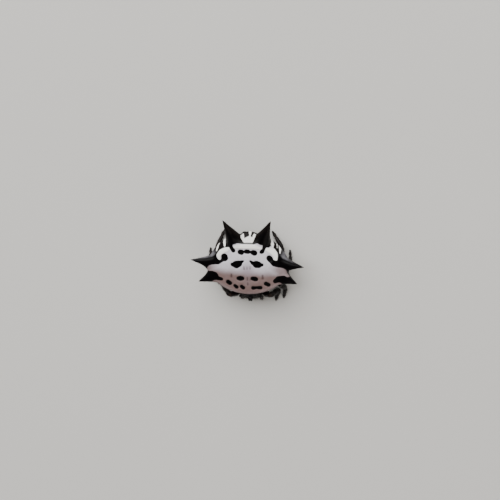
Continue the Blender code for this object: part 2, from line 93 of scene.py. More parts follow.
# Each spine: the bearing and rise of its root on the abdomen, its root's radius, and its tip
SPINES = {
    "middle": {"bearing": 8.0, "rise": 3.0, "root": 0.85, "tip": (6.25, 0.1, -0.1)},
    "front": {"bearing": -16.0, "rise": 3.0, "root": 0.9, "tip": (5.42, -2.2, -0.3)},
    "rear": {"bearing": 62.0, "rise": -2.0, "root": 1.08, "tip": (2.61, 5.28, 0.5)},
}
# How far out and to the tail the finished tip on either side is from there
TIP_REACH = {
    ("middle", 1): (0.12, -0.19), ("middle", -1): (0.25, 0.29),
    ("front", 1): (0.12, 0.02), ("front", -1): (0.24, -0.07),
    ("rear", 1): (0.12, 0.19), ("rear", -1): (0.07, 0.14),
}
# How blunt all tips are, as a share of the root's radius
TIP_BLUNTNESS = 0.035

# The sunken black spots of the back: each a chain of (x, y, radius)
SPOTS = (
    ((-0.81, 1.56, 0.3), (-0.69, 1.53, 0.32)),
    (
        (-0.44, 1.59, 0.12), (-0.36, 1.6, 0.14), (-0.14, 1.63, 0.26), (0.1, 1.62, 0.26),
        (0.32, 1.59, 0.15), (0.42, 1.57, 0.14),
    ),
    ((0.64, 1.55, 0.3), (0.82, 1.49, 0.32)),
    ((-2.62, 0.92, 0.39), (-2.58, 0.78, 0.39)),
    ((2.46, 0.94, 0.33), (2.54, 0.84, 0.35)),
    ((-1.68, 0.05, 0.25), (-1.26, 0.07, 0.46), (-1, 0.17, 0.39), (-0.62, 0.44, 0.17), (-0.47, 0.52, 0.1)),
    ((0.32, 0.53, 0.12), (0.6, 0.29, 0.23), (1.01, 0.17, 0.44), (1.24, 0.13, 0.4), (1.62, 0.12, 0.21)),
    ((-1.02, -1.58, 0.26), (-0.8, -1.57, 0.31), (-0.64, -1.57, 0.27)),
    ((0.58, -1.55, 0.26), (0.8, -1.59, 0.29), (0.95, -1.62, 0.25)),
    ((-2.22, -2.09, 0.28), (-2.06, -2.2, 0.28)),
    ((2.07, -2.15, 0.26), (2.33, -2.28, 0.25)),
    ((-1.47, -2.51, 0.2), (-1.28, -2.68, 0.23)),
    ((-0.7, -2.58, 0.23), (-0.54, -2.73, 0.24)),
    ((0.6, -2.72, 0.24), (1, -2.67, 0.18), (1.42, -2.67, 0.24)),
)
# The black that runs from the spines on to the back, in the same way
SPINE_STAINS = (
    ((-1.95, 2.4, 0.24), (-1.78, 2.02, 0.24), (-1.66, 1.84, 0.25), (-1.58, 1.7, 0.24)),
    ((2, 2.4, 0.22), (1.82, 1.95, 0.2), (1.67, 1.7, 0.26), (1.58, 1.62, 0.21)),
    ((-2.74, 0.64, 0.24), (-3.02, 0.36, 0.15), (-3.4, 0.3, 0.32), (-4, 0.45, 0.52), (-4.9, 0.5, 0.8)),
    ((2.66, 0.64, 0.28), (3.05, 0.34, 0.37), (3.55, 0.22, 0.39), (4.1, 0.26, 0.48), (4.9, 0.2, 0.8)),
    ((-3, -1.74, 0.21), (-3.4, -1.67, 0.26), (-3.86, -1.42, 0.54), (-4.1, -1.4, 0.57), (-4.6, -1.6, 0.73)),
    ((3.12, -1.8, 0.27), (3.5, -1.57, 0.39), (4.05, -1.58, 0.47), (4.7, -2.2, 0.75)),
)
# The brighter, raised bands along the plate's rear edge, in the same way
BANDS = (
    ((-1.55, 2.08, 0.12), (-1.2, 2.17, 0.21), (0, 2.21, 0.22), (0.95, 2.19, 0.21), (1.62, 2.02, 0.13)),
    ((-1.85, 1.98, 0.1), (-2.47, 1.74, 0.24), (-2.99, 1.44, 0.26), (-3.25, 1.05, 0.24), (-3.18, 0.66, 0.1)),
    ((2.1, 1.92, 0.12), (2.63, 1.75, 0.26), (3.03, 1.48, 0.28), (3.18, 1.11, 0.25), (3.14, 0.76, 0.22)),
)
# Soft brownish smudges and pits on the back, in the same way
SMUDGES = (
    ((-1.83, -1.1, 0.09), (-1.84, -1.38, 0.11)),
    ((1.7, -1.13, 0.08), (1.71, -1.48, 0.13)),
    ((-0.4, -0.12, 0.03), (-0.38, -0.42, 0.07)),
    ((-0.05, -0.16, 0.02), (-0.05, -0.4, 0.05)),
    ((0.3, -0.06, 0.02), (0.3, -0.38, 0.05)),
    ((-0.03, -1.42, 0.06), (-0.03, -1.72, 0.08)),
    ((0.28, -1.6, 0.02), (0.28, -1.78, 0.03)),
    ((0, -2.06, 0.04), (0, -2.32, 0.07)),
)
# Where the plate's white gives way to the black of the wall: (bearing in degrees, share of the way)
WALL_START = (
    (-180, 0.43), (-177.5, 0.468), (-174, 0.478), (-90, 0.48), (-8, 0.478), (-5, 0.47), (-2, 0.435),
    (0, 0.41), (4.5, 0.366), (9, 0.3), (17, 0.305), (19.5, 0.35), (25.5, 0.411), (29.5, 0.45), (36, 0.492),
    (44, 0.5), (51, 0.42), (57.5, 0.402), (65.5, 0.397), (74.5, 0.42), (80, 0.424), (90, 0.416),
    (98, 0.422), (103.5, 0.424), (108.5, 0.409), (114, 0.393), (120, 0.388), (129, 0.412), (137, 0.444),
    (145, 0.447), (152, 0.431), (156.5, 0.406), (160, 0.369), (164.5, 0.322), (168, 0.29), (171, 0.305),
    (172.2, 0.339), (174, 0.368), (176, 0.384), (178, 0.402), (180, 0.43),
)
# The pale patches of the black wall, each a chain of (bearing in degrees, share of the way, radius)
WALL_PATCHES = (
    ((96.5, 0.479, 0.09), (89, 0.479, 0.09), (81.5, 0.482, 0.09)),
    ((96, 0.49, 0.13), (88, 0.5, 0.16), (81, 0.497, 0.15)),
    ((98.5, 0.49, 0.1), (100.3, 0.513, 0.14), (100.8, 0.529, 0.13)),
    ((86.3, 0.53, 0.08), (86.2, 0.56, 0.16), (86.2, 0.6, 0.17)),
    ((80, 0.505, 0.1), (78.8, 0.521, 0.12), (77.4, 0.537, 0.11)),
    ((137, 0.494, 0.09), (136.7, 0.53, 0.16), (136.5, 0.57, 0.11)),
    ((153, 0.502, 0.07), (150.5, 0.53, 0.11), (147, 0.575, 0.07)),
    ((40.5, 0.494, 0.09), (42, 0.53, 0.16), (44, 0.575, 0.11)),
    ((33, 0.525, 0.03), (34.5, 0.565, 0.06)),
    ((26.5, 0.502, 0.07), (28, 0.54, 0.12), (30.5, 0.58, 0.08)),
    ((-131, 0.64, 0.06), (-127, 0.655, 0.05)),
    ((-53, 0.65, 0.05), (-49, 0.64, 0.06)),
    ((8, 0.8, 0.08), (15, 0.812, 0.06)),
    ((172, 0.8, 0.08), (166, 0.812, 0.06)),
    ((52, 0.79, 0.07), (57, 0.806, 0.05)),
    ((129, 0.792, 0.07), (124, 0.806, 0.05)),
    ((84, 0.82, 0.05), (95, 0.822, 0.06)),
)

# The share of the way where the upper side ends, and over how many millimetres the marks' edges slope
UPPER_SIDE_END = 0.52
SPOT_SLOPE = 0.26
SMUDGE_SLOPE = 0.22
BAND_SLOPE = 0.13
# How far hollows, folds, furrows, smudges and grain stand out or are sunk, in millimetres
HOLLOW_DEPTH = 0.20
FOLD_HEIGHT = 0.018
FURROW_HEIGHT = 0.014
SMUDGE_DEPTH = 0.02
GRAIN_HEIGHT = 0.014

# The head and chest, as in the solids
CARAPACE_MIDDLE_Y = -3.0
CARAPACE_HALF_LENGTH = 1.35
CARAPACE_HALF_WIDTH = 1.45
CARAPACE_TOP = 2.62
CARAPACE_RIM = 1.85
CARAPACE_FLOOR = 1.64
HEAD_HALF_WIDTH = 1.18
HEAD_FRONT_Y = CARAPACE_MIDDLE_Y - CARAPACE_HALF_LENGTH
CHEST_SQUARENESS = 0.75
HEAD_SQUARENESS = 0.55
STERNUM_MIDDLE_Y = -2.55
STERNUM_HALF_LENGTH = 0.95
STERNUM_HALF_WIDTH = 0.70
STERNUM_UNDERSIDE = 0.80
STERNUM_TOP = 1.39
MOUTH_Y = -3.93
# A feeler's joints: across, ahead of the mouth and up; and its four segments' radii at either end
FEELER = ((0.45, -0.02, 1.05), (0.85, 0.38, 1.00), (1.06, 0.64, 1.03), (1.13, 0.86, 0.80), (1.04, 0.84, 0.36))
FEELER_RADII = ((0.14, 0.16), (0.17, 0.20), (0.20, 0.19), (0.18, 0.10))

# The legs, as in the solids
COXA_HEIGHT = 1.12
HIP_GAP = 0.25
TIP_HEIGHT = 0.15
PATELLA_LIFT = 0.05
# Each pair: where its hip is on the chest plate's edge and which way it points, both in degrees from
# the side and to the tail, its girth, and the lengths of its six bones in the order of BONES
LEG_PAIRS = {
    1: {"hip": (-56, -35), "girth": 0.35, "bones": (1.00, 1.95, 0.70, 1.29, 1.15, 0.62)},
    2: {"hip": (-19, -16), "girth": 0.34, "bones": (0.75, 2.10, 0.62, 1.09, 1.05, 0.57)},
    3: {"hip": (17, 14), "girth": 0.29, "bones": (0.75, 1.94, 0.60, 1.23, 1.08, 0.57)},
    4: {"hip": (54, 44), "girth": 0.34, "bones": (0.75, 2.60, 0.70, 1.21, 1.52, 0.70)},
}
# How each leg is held: the femur's bearing and rise, the foot's place, and how far the ankle leans over
STANCE = {
    (1, 1): {"femur": (11, 61), "foot": (2.65, -5.12), "lean": -135},
    (1, -1): {"femur": (5, 65), "foot": (-3.05, -4.36), "lean": 85},
    (2, 1): {"femur": (20, 34), "foot": (3.54, -4.80), "lean": -120},
    (2, -1): {"femur": (30, 36), "foot": (-3.35, -3.80), "lean": 112},
    (3, 1): {"femur": (26, 30), "foot": (4.26, 0.70), "lean": 105},
    (3, -1): {"femur": (22, 22), "foot": (-4.87, 0.69), "lean": -90},
    (4, 1): {"femur": (20, 24), "foot": (2.25, 2.85), "lean": 115},
    (4, -1): {"femur": (16, 22), "foot": (-3.26, 2.89), "lean": -115},
}
# How far a segment stops short of a joint, and how far the joint's skin reaches along it
JOINT_GAP = 0.05
SKIN_REACH = 0.16
# Half the size of the foot's pad, and the points and radii of each claw, from the foot
PAD_HALF_SIZE = (0.11, 0.11, 0.07)
CLAW = ((0.03, 0, 0.13), (0.06, -0.05, 0.09), (0.07, -0.10, 0.03), (0.07, -0.11, 0.005))
CLAW_RADII = (0.030, 0.026, 0.016, 0.004)
# The bones of a leg: the radius at the start, the thickest place and the end, as shares of the leg's girth
BONES = (
    ("coxa", 0.80, 0.92, 0.80),
    ("femur", 0.66, 1.06, 0.78),
    ("patella", 0.76, 0.94, 0.78),
    ("tibia", 0.72, 0.92, 0.72),
    ("metatarsus", 0.62, 0.72, 0.60),
    ("tarsus", 0.54, 0.56, 0.34),
)


def colour_prop(name, description, default):
    return FloatVectorProperty(
        name=name, description=description, default=default, min=0, max=1, subtype="COLOR"
    )


def float_prop(name, description, default, most, least=0, unit="LENGTH"):
    return FloatProperty(
        name=name, description=description, default=default, min=least, max=most, unit=unit, precision=6
    )


def count_prop(name, description, default, most=3000, least=0):
    return IntProperty(name=name, description=description, default=default, min=least, max=most)


class AbdomenSettings(PropertyGroup):
    plate: colour_prop("Plate", "Lilac white of the back, toward the tail", (0.66, 0.65, 0.71))
    # Mauve and the brownish pink toward the head are partly the back's own tint and partly painted shade.
    mauve: colour_prop("Mauve", "Greyish mauve of the middle of the back", (0.355, 0.305, 0.355))
    flush: colour_prop("Flush", "Brownish pink of the back, toward the head", (0.18, 0.125, 0.119))
    rim: colour_prop("Rim", "Bright white of the rear bands and of the wall's patches", (0.95, 0.95, 0.92))
    mark: colour_prop("Marks", "Black of the spots and spines", (0.0016, 0.0013, 0.0016))
    smudge: colour_prop("Smudges", "Purplish brown of the small smudges", (0.055, 0.034, 0.034))
    # Grey flanks: a painted reflection, the blue-grey on the tail side of the middle spines' glossy black.
    flank_reflection: colour_prop("Grey flanks", "Blue-grey of the flanks of the side spines", (0.16, 0.157, 0.175))
    belly: colour_prop("Belly", "Black-brown of the wall and belly", (0.006, 0.0042, 0.004))
    dimple: float_prop("Dimple depth", "How deep the black spots are sunk", 0.00009, 0.0003)
    rim_height: float_prop("Rim height", "How far the rear rim stands above the plate", 0.00007, 0.0003)
    groove: float_prop("Groove depth", "Depth of the groove that runs behind the rim", 0.00008, 0.0003)
    detail: count_prop("Detail", "Subdivisions of the ball that the abdomen is moulded from", 7, 7, 4)
    hair_length: float_prop("Hair length", "Length of the hairs on the wall, belly and spines", 0.0002, 0.001)
    hair_count: count_prop("Hairs", "How many sparse hairs the abdomen has", 520)


class HeadSettings(PropertyGroup):
    shell: colour_prop("Shell", "Polished black of the head and fang bases", (0.006, 0.005, 0.006))
    leather: colour_prop("Leather", "Black-brown of chest plate, mouth and stalk", (0.02, 0.013, 0.011))
    fang: colour_prop("Fang", "Dark red-brown of the fangs and claws", (0.06, 0.012, 0.006))
    eye: colour_prop("Eye", "Wet black of the eyes", (0.002, 0.002, 0.003))
    hair: colour_prop("Pale hair", "Dusty grey-brown of the short hairs", (0.1, 0.09, 0.08))
    hair_length: float_prop("Pale hair length", "Length of the short hairs on the head", 0.00022, 0.001)
    hair_count: count_prop("Pale hairs", "How many short hairs the head has", 420)
    fringe_length: float_prop("Fringe length", "Length of the dark hairs of the face", 0.00042, 0.001)
    fringe_count: count_prop("Fringe hairs", "How many dark hairs the head's front edge has", 700)


class LegSettings(PropertyGroup):
    shell: colour_prop("Shell", "Black-brown of the legs", (0.006, 0.0042, 0.004))
    joint: colour_prop("Joint skin", "Brown of the soft skin between two segments", (0.016, 0.009, 0.007))
    bristle: colour_prop("Bristle", "Dark brown of the leg bristles", (0.014, 0.01, 0.008))
    bristle_length: float_prop("Bristle length", "Length of the leg bristles", 0.00032, 0.001)
    bristle_count: count_prop("Bristles", "How many bristles one leg has", 300)


class StageSettings(PropertyGroup):
    floor: colour_prop("Floor", "Pale grey of the floor", (0.62, 0.62, 0.6))
    floor_size: float_prop("Floor size", "Side of the square floor", 4, 10, 0.1)
    camera_distance: float_prop("Camera distance", "From the camera to the spider", 0.3, 2, 0.05)
    field_width: float_prop("Field width", "Width of what the camera sees at the spider", 0.05615, 0.5, 0.01)
    key_power: float_prop("Key power", "Power of the main light, from the tail's side", 3.6, 50, unit="POWER")
    fill_power: float_prop("Fill power", "Power of the light from the head's side", 0.8, 50, unit="POWER")
    sky: float_prop("Sky strength", "Strength of the soft light from all round", 0.46, 5, unit="NONE")


class SpiderSettings(PropertyGroup):
    abdomen: PointerProperty(type=AbdomenSettings)
    head: PointerProperty(type=HeadSettings)
    legs: PointerProperty(type=LegSettings)
    stage: PointerProperty(type=StageSettings)


# Placing


def animal_shift():
    """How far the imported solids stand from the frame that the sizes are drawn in, in millimetres."""
    tips_low, tips_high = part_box("abdomen")
    head_low, head_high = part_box("carapace")
    across = (tips_low.x + tips_high.x) / 2 / MM
    along = (head_low.y + head_high.y) / 2 / MM - CARAPACE_MIDDLE_Y
    return Vector((across, along, 0))


def back_frame():
    """The matrix from the abdomen's own frame to the animal's."""
    return Matrix.Translation((0, 0, BACK_HEIGHT)) @ Matrix.Rotation(BACK_PITCH, 4, "X")


def to_metres():
    return Matrix.Scale(MM, 4) @ Matrix.Translation(animal_shift())


def new_mesh(name, bm):
    """A mesh of this bmesh, which is freed."""
    mesh = bpy.data.meshes.new(name)
    bm.to_mesh(mesh)
    bm.free()
    return mesh


def add_object(name, data):
    made = bpy.data.objects.new(name, data)
    bpy.context.scene.collection.objects.link(made)
    return made


def add_piece(name, bm, finishes, replaced=()):
    """An object of this bmesh, which is in millimetres in the animal's frame, riding on the one body."""
    mesh = new_mesh(name, bm)
    mesh.transform(to_metres())
    mesh.shade_smooth()
    for finish in finishes:
        mesh.materials.append(finish)
    piece = add_object(name, mesh)
    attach(piece, BODY)
    if replaced:
        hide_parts(*replaced)
    return piece


# Shapes


def smoothstep(x):
    x = np.clip(x, 0.0, 1.0)
    return x * x * (3 - 2 * x)


def bell(x, middle, width):
    """1 at the middle, and close to 0 from two widths away."""
    return np.exp(-(((x - middle) / width) ** 2))


def between(x, low, rise, high, fall):
    """0 outside low..high, with a smooth rise from low and a smooth fall to high."""
    return smoothstep((x - low) / rise) * smoothstep((high - x) / fall)


def power(x, exponent):
    """A signed power, for rounded boxes."""
    return math.copysign(abs(x) ** exponent, x)


def heading(bearing, rise, side):
    """The direction with this bearing to the tail and this rise, in degrees, on the side 1 or -1."""
    bearing, rise = math.radians(bearing), math.radians(rise)
    level = math.cos(rise)
    return Vector((side * level * math.cos(bearing), level * math.sin(bearing), math.sin(rise)))


def moulded_ball(detail, shape):
    """A closed bmesh: each point of a unit ball moved to shape(its direction)."""
    bm = bmesh.new()
    bmesh.ops.create_icosphere(bm, subdivisions=detail, radius=1.0)
    for vert in bm.verts:
        vert.co = shape(vert.co.normalized())
    return bm


def fresh_normals(bm):
    bmesh.ops.recalc_face_normals(bm, faces=bm.faces)
    if bm.calc_volume(signed=True) < 0:
        bmesh.ops.reverse_faces(bm, faces=bm.faces)


def merge_into(bm, part, finish=0):
    """Adds the bmesh part to bm, with this material index, and frees it."""
    fresh_normals(part)
    for face in part.faces:
        face.material_index = finish
    loose = new_mesh("loose", part)
    bm.from_mesh(loose)
    bpy.data.meshes.remove(loose)


def add_ball(bm, detail, half_size, place, finish=0):
    """Adds a ball that is stretched to this half size and moved by the matrix place."""
    ball = moulded_ball(detail, lambda d: Vector([part * half for part, half in zip(d, half_size)]))
    ball.transform(place)
    merge_into(bm, ball, finish)


def upright_tube(sides, cuts):
    """A closed prism of radius and height 1 that stands on z = 0, cut across into rings."""
    bm = bmesh.new()
    bmesh.ops.create_cone(
        bm, cap_ends=True, segments=sides, radius1=1, radius2=1, depth=1,
        matrix=Matrix.Translation((0, 0, 0.5)),
    )
    uprights = [edge for edge in bm.edges if abs(edge.verts[0].co.z - edge.verts[1].co.z) > 0.5]
    bmesh.ops.subdivide_edges(bm, edges=uprights, cuts=cuts)
    return bm


def inset_caps(bm, thickness):
    caps = [face for face in bm.faces if len(face.verts) > 4]
    bmesh.ops.inset_region(bm, faces=caps, thickness=thickness)


def spindle(base, tip, radius, sides=24, rings=14):
    """A closed round form from base to tip, whose radius at each share of the way is radius(share)."""
    bm = upright_tube(sides, rings)
    inset_caps(bm, 0.35)
    axis = tip - base
    for vert in bm.verts:
        share = vert.co.z
        width = radius(share)
        if math.hypot(vert.co.x, vert.co.y) < 0.9:
            share += 0.35 * width / axis.length * (1 if share > 0.5 else -1)
        vert.co = Vector((vert.co.x * width, vert.co.y * width, share * axis.length))
    bm.transform(Matrix.Translation(base) @ turned(axis))
    return bm


def turned(way, forward="Z", up="Y"):
    """The matrix that turns the forward axis to point along way."""
    return way.to_track_quat(forward, up).to_matrix().to_4x4()


def curved_form(points, radii, sides):
    """A closed tube of round rings along a bent path, smoothed."""
    last = len(points) - 1
    cuts = 4 * last - 1
    bm = upright_tube(sides, cuts)
    lengths = np.linspace(0, 1, last + 1)
    path = np.array([tuple(point) for point in points])
    shares = np.linspace(0, 1, cuts + 2)
    centres = np.array([np.interp(shares, lengths, path[:, axis]) for axis in range(3)]).T
    widths = np.interp(shares, lengths, radii)
    for _ in range(3):
        centres[1:-1] = (centres[:-2] + 2 * centres[1:-1] + centres[2:]) / 4
        widths[1:-1] = (widths[:-2] + 2 * widths[1:-1] + widths[2:]) / 4
    ways = np.gradient(centres, axis=0)
    for vert in bm.verts:
        ring = round(vert.co.z * (cuts + 1))
        turn = Vector(ways[ring]).to_track_quat("Z", "Y")
        vert.co = Vector(centres[ring]) + turn @ Vector((vert.co.x, vert.co.y, 0)) * widths[ring]
    inset_caps(bm, min(radii[0], radii[-1]) * 0.4)
    return bm


# Markings


def chain_distance(x, y, chain):
    """Distance in the plane to a chain of (x, y, radius), negative inside it."""
    nearest = np.full(np.shape(x), 99.0)
    for (x0, y0, r0), (x1, y1, r1) in zip(chain, chain[1:]):
        length = (x1 - x0) ** 2 + (y1 - y0) ** 2
        share = np.clip(((x - x0) * (x1 - x0) + (y - y0) * (y1 - y0)) / length, 0, 1)
        away = np.hypot(x - x0 - share * (x1 - x0), y - y0 - share * (y1 - y0))
        nearest = np.minimum(nearest, away - r0 - share * (r1 - r0))
    return nearest


def soft_union(distances, blend):
    """The union of several shapes given by their distances, with their joins rounded over blend."""
    union = distances[0]
    for distance in distances[1:]:
        near = np.maximum(blend - np.abs(union - distance), 0) / blend
        union = np.minimum(union, distance) - near**2 * blend / 4
    return union


# The abdomen


def plate_edge(bearing):
    """The plate's radius at this bearing, from the middle of the plate."""
    across = (np.abs(np.cos(bearing)) / HALF_WIDTH) ** OUTLINE_POWER
    along = (np.abs(np.sin(bearing)) / HALF_LENGTH) ** OUTLINE_POWER
    return (across + along) ** (-1 / OUTLINE_POWER)


def profile_at(way):
    """The share of the outline's radius and the height at this share of the way to the belly."""
    ways, values = np.hsplit(np.array(PROFILE), [1])
    slopes = np.zeros_like(values)
    slopes[1:-1] = (values[2:] - values[:-2]) / (ways[2:] - ways[:-2])
    slopes[0, 0] = values[1, 0] / ways[1, 0]
    slopes[-1, 0] = (values[-1, 0] - values[-2, 0]) / (ways[-1, 0] - ways[-2, 0])
    i = np.clip(np.searchsorted(ways[:, 0], way, side="right") - 1, 0, len(ways) - 2)
    step = ways[i + 1] - ways[i]
    t = (way[:, None] - ways[i]) / step
    shape = (2 * t**3 - 3 * t**2 + 1) * values[i] + (t**3 - 2 * t**2 + t) * step * slopes[i]
    shape += (3 * t**2 - 2 * t**3) * values[i + 1] + (t**3 - t**2) * step * slopes[i + 1]
    return np.maximum(shape[:, 0], 0.0), shape[:, 1]


def bearing_and_way(directions):
    plan = np.hypot(directions[:, 0], directions[:, 1])
    bearing = np.arctan2(directions[:, 1], directions[:, 0])
    return bearing, np.arctan2(plan, directions[:, 2]) / math.pi


def abdomen_skin(directions):
    """The abdomen without its spines: a flat-topped plate over a wall, a thin lip and a deep belly."""
    bearing, way = bearing_and_way(directions)
    radius = plate_edge(bearing)
    reach, z = profile_at(way)
    belly = smoothstep((way - 0.66) / 0.24)
    bulge = REAR_BULGE * np.maximum(0.0, np.sin(bearing)) * smoothstep((way - 0.46) / 0.12) * reach**2
    x = radius * np.cos(bearing) * reach
    y = PLATE_MIDDLE_Y + radius * np.sin(bearing) * reach + bulge * (1 - belly) + BELLY_SHIFT * belly
    front = np.maximum(0.0, -np.sin(bearing)) * reach
    lift = FRONT_LIFT * front * smoothstep((way - 0.5) / 0.12) * (1 - belly)
    return np.stack((x, y, z + lift), axis=1)


def spine_roots():
    """For each of the six spines: its root's direction and place, its radius and its tip."""
    roots = []
    for name, spine in SPINES.items():
        for _, side in SIDES:
            direction = np.array(heading(spine["bearing"], spine["rise"], side))
            out, back = TIP_REACH[name, side]
            tip = np.array(spine["tip"]) * (side, 1, 1) + (side * out, back, 0)
            roots.append((direction, abdomen_skin(direction[None])[0], spine["root"], tip))
    return roots


def crowd_to_spines(directions, roots):
    """Draws the points near each spine's root together, so that the drawn-out spine has enough of them."""
    skin = abdomen_skin(directions)
    crowded = directions.copy()
    for root_direction, root, radius, _ in roots:
        share = np.linalg.norm(skin - root, axis=1) / radius
        near = share < 1
        pull = (share[near] ** (SPINE_CROWDING - 1))[:, None]
        crowded[near] = root_direction + (directions[near] - root_direction) * pull
    return crowded / np.linalg.norm(crowded, axis=1)[:, None]


def drawn_spines(skin, roots):
    """The skin drawn out into its spines, and how far each point was drawn."""
    grown = skin.copy()
    drawn = np.zeros(len(skin))
    for _, root, radius, tip in roots:
        share = np.clip(np.linalg.norm(skin - root, axis=1) / radius, 0, 1)
        share = np.hypot(share, TIP_BLUNTNESS * (1 - share)) - TIP_BLUNTNESS * (1 - share)
        pull = (1 - share) ** SPINE_POWER
        grown += (tip - root) * pull[:, None]
        drawn += pull * np.linalg.norm(tip - root)
    return grown, drawn


def band_of_chains(x, y, chains, top, blend=0.10):
    """Distance to a set of chains on the upper side of the abdomen, and far from them elsewhere."""
    return soft_union([np.where(top, chain_distance(x, y, chain), 1.0) for chain in chains], blend)


def wall_distance(bearing, way):
    """How far each point is above the line where the black of the wall starts, in millimetres."""
    degrees, starts = np.array(WALL_START).T
    return (np.interp(np.degrees(bearing), degrees, starts) - way) * WAY_LENGTH


def patch_distance(bearing, way):
    """Distance on the unrolled wall and belly to the nearest pale patch."""
    patches = []
    for chain in WALL_PATCHES:
        radius = WALL_RADIUS if chain[0][1] < 0.7 else BELLY_RADIUS
        unrolled = [(math.radians(turn) * radius, share * WAY_LENGTH, size) for turn, share, size in chain]
        patches.append(chain_distance(bearing * radius, way * WAY_LENGTH, unrolled))
    return soft_union(patches, 0.06)


def abdomen_marks(grown, drawn, bearing, way):
    """The marks of the abdomen at each point, as distances in millimetres or as shares."""
    x, y = grown[:, 0], grown[:, 1]
    top = way < UPPER_SIDE_END
    spots = band_of_chains(x, y, SPOTS, top)
    stains = band_of_chains(x, y, SPINE_STAINS, top)
    wall = wall_distance(bearing, way)
    spine = 0.7 * (0.40 - drawn)
    black = soft_union([spots, stains, wall, spine], 0.10)
    bands = band_of_chains(x, y, BANDS, top, 0.02)
    smudges = band_of_chains(x, y, SMUDGES, top)
    # The front mask: brownish pink toward the head and front sides, partly own tint and partly painted shade
    margin = np.where(x > 0, smoothstep((x - 2.2) / 1.5), smoothstep((-x - 2.9) / 1.6))
    beside = 0.8 * margin * smoothstep((0.35 - y) / 0.7)
    lean = np.where(x < 0, -0.10 * x, 0.02 * x)
    front = np.maximum(smoothstep((lean - 0.44 - y) / 1.10), beside)
    front -= 0.12 * smoothstep((way - 0.33) / 0.08) * smoothstep((-0.9 - y) / 0.6)
    front -= 0.16 * bell(x, 0, 0.38) * between(y, -2.7, 0.5, -0.7, 0.5)
    behind_rim = -wall / WAY_LENGTH - 0.022
    rear = smoothstep((np.sin(bearing) - 0.55) / 0.3)
    return {
        "black": np.clip(-black, -1, 1),
        "spot_depth": smoothstep(0.5 - spots / SPOT_SLOPE) * top,
        "smudge": smoothstep(0.5 - smudges / SMUDGE_SLOPE) * top,
        "pale": np.clip(-patch_distance(bearing, way), -1, 1),
        "band": smoothstep(0.5 - bands / BAND_SLOPE) * top,
        "groove": rear * bell(behind_rim, 0, 0.016) * smoothstep((0.9 - drawn) / 0.5),
        "groove_light": 0.16 * bell(x, 0, 0.62) * rear * bell(behind_rim, 0, 0.03) * (way < 0.475),
        # mid_back and front: the plate's darkening toward the head, partly its own tint and partly painted
        # shade.
        "mid_back": smoothstep((0.8 - y) / 1.6) * (0.45 + 0.55 * bell(x, 0, 0.8)),
        "front": front,
        "wall": smoothstep((way - 0.47) / 0.03),
        # grey: the painted reflection on the tail side of the middle spines
        "grey": painted_flank_reflection(bearing, way),
    }


def painted_flank_reflection(bearing, way):
    """The greyish, painted reflection on the glossy black of the tail side of the middle spines."""
    turn = np.degrees(bearing)
    flanks = 1.35 * bell(turn, 163, 5.5) + bell(turn, 19, 5.5)
    return np.minimum(flanks * between(way, 0.44, 0.05, 0.62, 0.05), 1.0)


def abdomen_relief(skin, marks, bearing, way, sizes):
    """How far each point of the skin stands out along its normal, in millimetres."""
    relief = marks["band"] * sizes.rim_height / MM
    relief -= marks["groove"] * sizes.groove / MM
    relief -= marks["spot_depth"] * sizes.dimple / MM
    relief -= marks["smudge"] * SMUDGE_DEPTH
    turn = np.degrees(bearing)
    hollows = bell(turn, 107.5, 3.6) + 0.6 * bell(turn, 70, 3.6)
    relief -= HOLLOW_DEPTH * hollows * between(way, 0.50, 0.05, 0.70, 0.08)
    relief += HOLLOW_DEPTH * bell((turn + 360) % 360, 183, 4) * between(way, 0.40, 0.06, 0.64, 0.08)
    wander = 1.6 * np.sin(bearing * 3.1 + 0.7) + 1.4 * np.sin(way * 40)
    folds = np.cos(bearing * 23 + wander) * (0.6 + 0.4 * np.sin(bearing * 4.3))
    folds += 0.5 * np.cos(bearing * 41 + 2.0 * np.sin(bearing * 2.3 + 1.0) + way * 21)
    relief += FOLD_HEIGHT * folds * between(way, 0.50, 0.05, 0.72, 0.06)
    furrows = np.cos(way * 150 + 0.9 * np.sin(bearing * 5) + 0.6 * np.sin(bearing * 11))
    relief += FURROW_HEIGHT * furrows * between(way, 0.76, 0.05, 0.985, 0.03)
    return relief + GRAIN_HEIGHT * np.array([noise.noise(Vector(point) * 2.2) for point in skin])


def make_abdomen_mesh(sizes):
    """The abdomen as a bmesh in the animal's frame, and the marks at each of its points."""
    bm = bmesh.new()
    bmesh.ops.create_icosphere(bm, subdivisions=sizes.detail, radius=1.0)
    directions = np.array([tuple(vert.co.normalized()) for vert in bm.verts])
    roots = spine_roots()
    directions = crowd_to_spines(directions, roots)
    bearing, way = bearing_and_way(directions)
    skin = abdomen_skin(directions)
    grown, drawn = drawn_spines(skin, roots)
    marks = abdomen_marks(grown, drawn, bearing, way)
    for vert, place in zip(bm.verts, grown):
        vert.co = place
    bm.normal_update()
    relief = abdomen_relief(skin, marks, bearing, way, sizes) * smoothstep((1.1 - drawn) / 1.0)
    for vert, height in zip(bm.verts, relief):
        vert.co += vert.normal * float(height)
    bm.transform(back_frame())
    fresh_normals(bm)
    return bm, marks


# The head and chest


